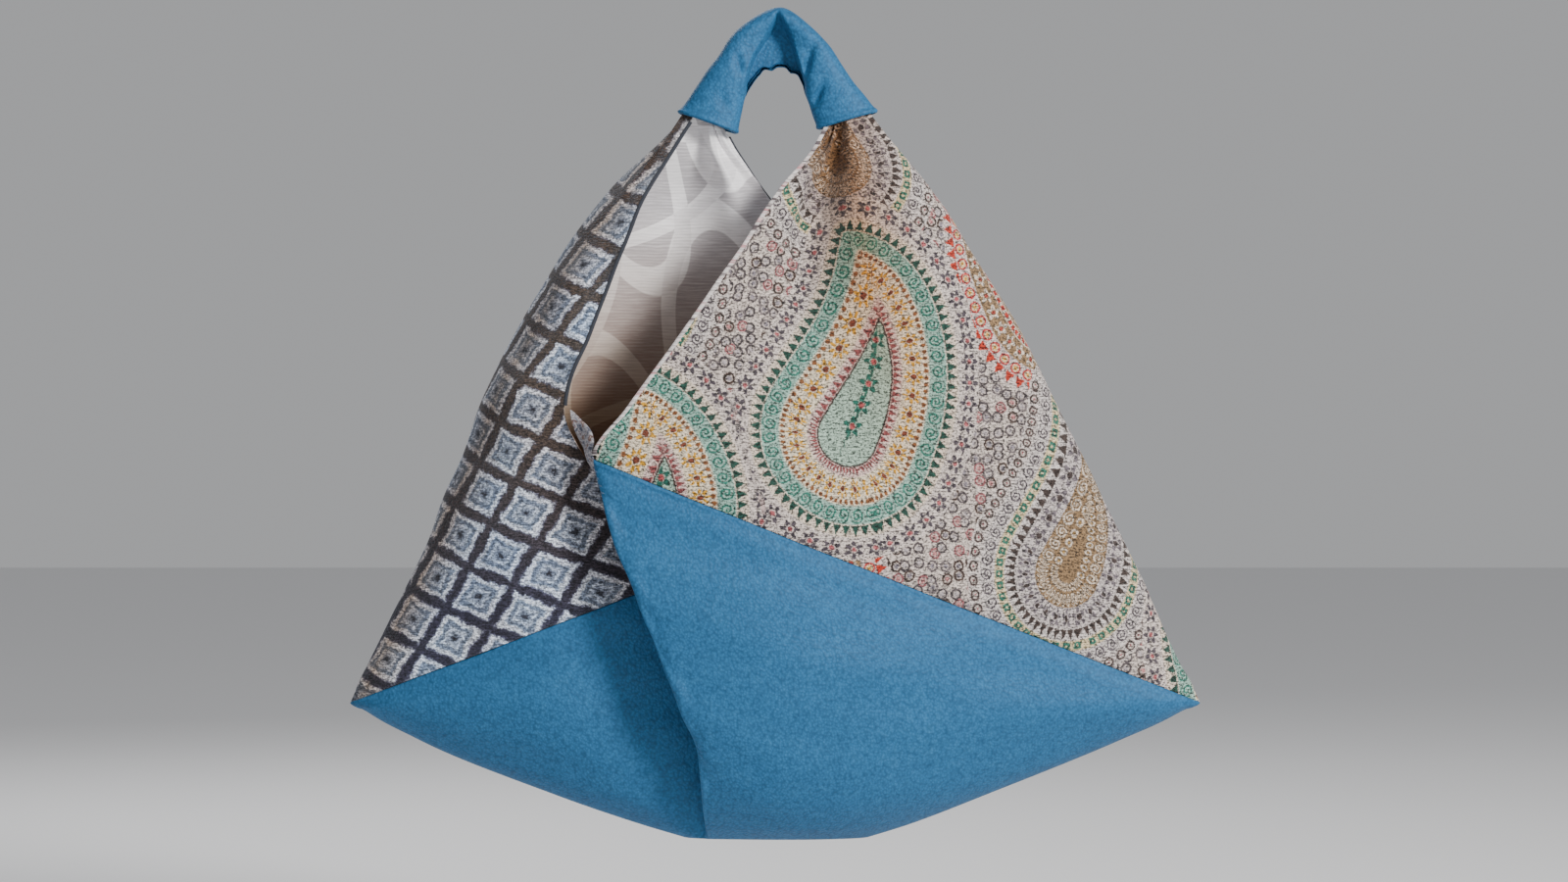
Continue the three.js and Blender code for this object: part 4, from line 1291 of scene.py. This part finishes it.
def sleeveRing(s, shrink, turns, ripple):
    form = sleeveForm
    at = np.arange(len(sleeveRows))
    value = {key: curveThrough(at, [row[key] for row in sleeveRows]) for key in sleeveRows[0]}
    outer, inner = (np.stack([value[side + "X"](s) * form["halfSpan"], 0 * s,
                              bagForm["bodyHeight"] + value[side + "Z"](s) * form["rise"]], -1)
                    for side in ("outer", "inner"))
    middle, half = (outer + inner) / 2, (outer - inner) / 2
    halfLength = np.linalg.norm(half, axis=-1)
    half = unit(half)
    nearCrown = np.sin(math.pi * s / at[-1]) ** 2
    depth = mix(form["halfDepth"], form["crownHalfDepth"], nearCrown)
    c, sn = np.cos(turns), np.sin(turns)
    spread = c * (halfLength[..., None] - shrink + ripple)
    points = middle[..., None, :] + half[..., None, :] * spread[..., None]
    y = -np.sign(sn) * np.abs(sn) ** 0.85 * (depth[..., None] - shrink + ripple)
    front = np.maximum(0, sn) * smooth(-c, -0.9, 0.1)
    push = value["dent"](s)[..., None] * form["dentDepth"] * front
    x, z = points[..., 0], points[..., 2]
    notch = sleeveNotch
    left, right = (np.interp(-z, [-k for k in notch["heights"]], notch[side]) for side in ("left", "right"))
    within = smooth(x, left - 0.6, left + notch["edge"]) * (1 - smooth(x, right - notch["edge"], right + 0.6))
    down = np.clip((notch["heights"][0] - z) / (notch["heights"][0] - notch["heights"][-1]), 0, 1)
    push = push * 0.55 + within * (notch["start"] + notch["deep"] * down ** 0.7) * (sn > 0)
    for pinch in sleevePinches:
        dx, dz = x - pinch["place"][0], z - pinch["place"][1]
        lean = math.radians(pinch["lean"])
        along = (dx * math.sin(lean) + dz * math.cos(lean)) / pinch["length"]
        across = (dx * math.cos(lean) - dz * math.sin(lean)) / pinch["width"]
        push = push + pinch["depth"] * np.exp(-along ** 2 - across ** 2) * (sn > 0)
    room = depth[..., None] - y - form["wall"] - form["slit"] - shrink
    y = y + np.where(sn > 0, np.minimum(push, np.maximum(room, 0)), 0)
    points[..., 1] = y
    return points


def buildSleeve():
    sides, steps = 128, 200
    share = np.linspace(0, 1, steps)
    # the rings lie closer at the two ends
    s = (len(sleeveRows) - 1) * mix(share, 0.5 - 0.5 * np.cos(math.pi * share), 0.8)
    turns = np.linspace(0, 2 * math.pi, sides, endpoint=False)
    sGrid, tGrid = np.meshgrid(s, turns, indexing="ij")
    crease = 0.7 * np.sin(sGrid * 4.3 + 1.4 * np.cos(tGrid) + 0.6) + 0.3 * np.sin(sGrid * 7.7 + 1.1)
    bent = smooth(sGrid, 1.2, 3) * (1 - smooth(sGrid, 5, 6.8))
    inside = np.clip(-np.cos(tGrid), 0, 1)
    crease = crease * (0.35 + 0.9 * bent * inside)
    fromEnd = np.minimum(sGrid, len(sleeveRows) - 1 - sGrid)
    hem = 0.7 * np.exp(-((fromEnd - 0.09) / 0.07) ** 2) - 0.95 * np.exp(-(fromEnd / 0.025) ** 2)
    outer = sleeveRing(s, 0.0, turns, crease + hem)
    inner = sleeveRing(s, sleeveForm["wall"], turns, crease)
    outer, inner = outer.transpose(1, 0, 2), inner.transpose(1, 0, 2)
    points, faces, n = twoSkins(outer, inner, sides, steps, ring=True)
    for k in range(sides):
        a, b = k * steps, ((k + 1) % sides) * steps
        faces.append([a, a + n, b + n, b])
        faces.append([b + steps - 1, b + n + steps - 1, a + n + steps - 1, a + steps - 1])
    return makeMesh("handleSleeve", points, faces, [blueLeather], "blue_leather", "handle_sleeve")


built["sleeve"] = buildSleeve()
print("sleeve ready")

# Stage, lights and camera

stageForm = {
    "floorDrop": 0.64,
    "floorSize": 9.0,
    "floorColour": (0.78, 0.78, 0.79, 1),
    "worldColour": (0.9, 0.91, 0.93, 1),
    "worldStrength": 0.43,
}
floorMesh = bpy.data.meshes.new("floor")
reach, low = stageForm["floorSize"], -stageForm["floorDrop"]
corners = [(-reach, -reach, low), (reach, -reach, low), (reach, reach, low), (-reach, reach, low)]
floorMesh.from_pydata(corners, [], [(0, 1, 2, 3)])
floor = bpy.data.objects.new("floor", floorMesh)
putInScene(floor)
floorMaterial, _, floorShader = newMaterial("paleFloor", 0.9, 0.2)
floorShader.inputs["Base Color"].default_value = stageForm["floorColour"]
floorMesh.materials.append(floorMaterial)

world = bpy.context.scene.world or bpy.data.worlds.new("studio")
bpy.context.scene.world = world
world.use_nodes = True
background = world.node_tree.nodes["Background"].inputs
background[0].default_value = stageForm["worldColour"]
background[1].default_value = stageForm["worldStrength"]

studioLights = [
    {"name": "key", "place": (1.6, -1.8, 0.8), "power": 103.0, "size": 0.6, "colour": (1.0, 0.985, 0.96)},
    {"name": "fill", "place": (-1.9, -1.6, 0.2), "power": 6.0, "size": 1.6, "colour": (0.93, 0.96, 1.0)},
    {"name": "rim", "place": (-0.6, 1.5, 1.0), "power": 20.0, "size": 1.0, "colour": (1.0, 1.0, 1.0)},
]
aim = Vector((0.0, 0.0, -0.25))
for spec in studioLights:
    lamp = bpy.data.lights.new(spec["name"], "AREA")
    lamp.energy, lamp.size, lamp.color = spec["power"], spec["size"], spec["colour"]
    holder = bpy.data.objects.new(spec["name"], lamp)
    holder.location = spec["place"]
    holder.rotation_euler = (aim - holder.location).to_track_quat("-Z", "Y").to_euler()
    putInScene(holder)

viewForm = {"lens": 85.0, "away": 2.456, "middleX": 0.0059, "middleZ": -0.248}
cameraData = bpy.data.cameras.new("photoView")
cameraData.lens = viewForm["lens"]
cameraData.sensor_width = 36.0
camera = bpy.data.objects.new("photoView", cameraData)
camera.location = (viewForm["middleX"], -viewForm["away"], viewForm["middleZ"])
camera.rotation_euler = (math.radians(90), 0, 0)
putInScene(camera)
bpy.context.scene.camera = camera
print("stage, lights and camera ready")
